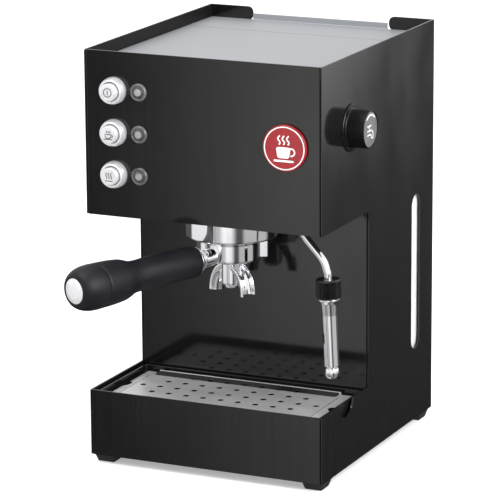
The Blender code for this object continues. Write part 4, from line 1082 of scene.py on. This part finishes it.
# ---- studio ----
def studio_floor():
    """A wide plain pale floor."""
    made = new_material("pale_floor", grey(0.9), 0.6, IOR=1.4, Emission_Strength=0.35,
                        Emission_Color=(1, 1, 1, 1))
    vary_colour(made, noise(made, 0.4, 2), (grey(0.885), grey(0.905)))
    shape = bmesh.new()
    reach = 6
    shape.faces.new([shape.verts.new((u * reach, v * reach, 0)) for u, v in SQUARE])
    mesh = to_mesh(shape)
    mesh.materials.append(made)
    floor = add_object("floor", mesh)
    floor.visible_glossy = False


def soft_box(name, spot, size, watts, towards):
    light = bpy.data.lights.new(name, "AREA")
    light.size, light.energy = size, watts
    made = add_object(name, light)
    made.location = spot
    made.rotation_euler = (Vector(towards) - Vector(spot)).to_track_quat("-Z", "Y").to_euler()
    made.visible_camera = False


def studio():
    """A white room, darker below the horizon but for a few soft patches, and a broad light above and one to
    the right. The camera sees plain white."""
    world = bpy.data.worlds.new("studio")
    bpy.context.scene.world = world
    world.use_nodes = True
    world.node_tree.nodes.clear()

    def math_node(operation, *values):
        made = add_node(world, "ShaderNodeMath", operation=operation)
        for socket, value in zip(made.inputs, values):
            if isinstance(value, (int, float)):
                socket.default_value = value
            else:
                link(world, value, socket)
        return made.outputs[0]

    def fade(value, start, end, low, high):
        return map_range(world, value, start, end, low, high, interpolation_type="SMOOTHSTEP")

    way = add_node(world, "ShaderNodeTexCoord").outputs["Generated"]
    parts = add_node(world, "ShaderNodeSeparateXYZ")
    link(world, way, parts.inputs["Vector"])
    x, y, z = parts.outputs
    azimuth = math_node("MULTIPLY", math_node("ARCTAN2", x, math_node("MULTIPLY", y, -1)), 180 / math.pi)
    level = ROOM_AMBIENT
    for centre, inner, outer, gain in ROOM_PATCHES:
        turn = math_node("WRAP", math_node("SUBTRACT", azimuth, centre), 180, -180)
        apart = math_node("ABSOLUTE", turn)
        level = math_node("ADD", level, fade(apart, inner, outer, gain, 0))
    steep, shallow, steep_share = -0.33, -0.21, 0.45
    level = math_node("MULTIPLY", level, fade(z, steep, shallow, steep_share, 1))
    spot = add_node(world, "ShaderNodeVectorMath", operation="DOT_PRODUCT")
    link(world, way, spot.inputs[0])
    spot.inputs[1].default_value = direction(*(math.radians(angle) for angle in SIDE_SPOT))
    wide, narrow = (math.cos(math.radians(angle)) for angle in SIDE_SPOT_REACH)
    level = math_node("ADD", level, fade(spot.outputs["Value"], wide, narrow, 0, SIDE_SPOT_GAIN))
    below, above = -0.14, 0.04
    share = fade(z, below, above, 0, 1)
    level = math_node("ADD", math_node("MULTIPLY", level, math_node("SUBTRACT", 1, share)),
                      math_node("MULTIPLY", share, ROOM_WHITE))

    lighting, seen = (add_node(world, "ShaderNodeBackground") for _ in range(2))
    link(world, level, lighting.inputs["Strength"])
    mix = add_node(world, "ShaderNodeMixShader")
    link(world, add_node(world, "ShaderNodeLightPath").outputs["Is Camera Ray"], mix.inputs["Fac"])
    for source, socket in ((lighting, 1), (seen, 2)):
        set_inputs(source, Color=(1, 1, 1, 1))
        link(world, source.outputs["Background"], mix.inputs[socket])
    link(world, mix.outputs["Shader"], add_node(world, "ShaderNodeOutputWorld").inputs["Surface"])
    object_middle = (0, 0, 0.2)
    soft_box("top_light", (-0.5, -0.6, 2.2), 1.6, 20, object_middle)
    soft_box("right_light", (1.7, -0.5, 1.1), 1.2, 36, object_middle)


def direction(azimuth, elevation):
    """The way from the object to a spot this far round to the right of the front, and this far up."""
    flat = math.cos(elevation)
    return Vector((math.sin(azimuth) * flat, -math.cos(azimuth) * flat, math.sin(elevation)))


def camera():
    data = bpy.data.cameras.new("camera")
    data.lens = CAMERA_LENS_MM
    data.sensor_width = 36
    made = add_object("camera", data)
    back = direction(CAMERA_AZIMUTH, CAMERA_ELEVATION)
    right = Vector((math.cos(CAMERA_AZIMUTH), math.sin(CAMERA_AZIMUTH), 0))
    up = back.cross(right)
    cos_roll, sin_roll = math.cos(CAMERA_ROLL), math.sin(CAMERA_ROLL)
    right, up = cos_roll * right + sin_roll * up, cos_roll * up - sin_roll * right
    turn = Matrix((right, up, back)).transposed().to_4x4()
    made.matrix_world = Matrix.Translation(ORIGIN + Vector(CAMERA_SPOT)) @ turn
    bpy.context.scene.camera = made


casing_sheets()
rear_sheet()
top_plates()
for spot in ("front_left", "front_right", "rear_left", "rear_right"):
    foot(spot + "_foot")
for row, mark in (("power", power_mark()), ("brew", brew_mark()), ("steam", steam_mark())):
    control_row(row, CONTROL_ROWS[row], mark)
badge()
steam_knob()
group_ring()
portafilter()
steam_wand()
drip_tray()
drip_grill()
water_tank()
dress_cad()
studio_floor()
studio()
camera()
bpy.context.scene.view_settings.view_transform = "Standard"
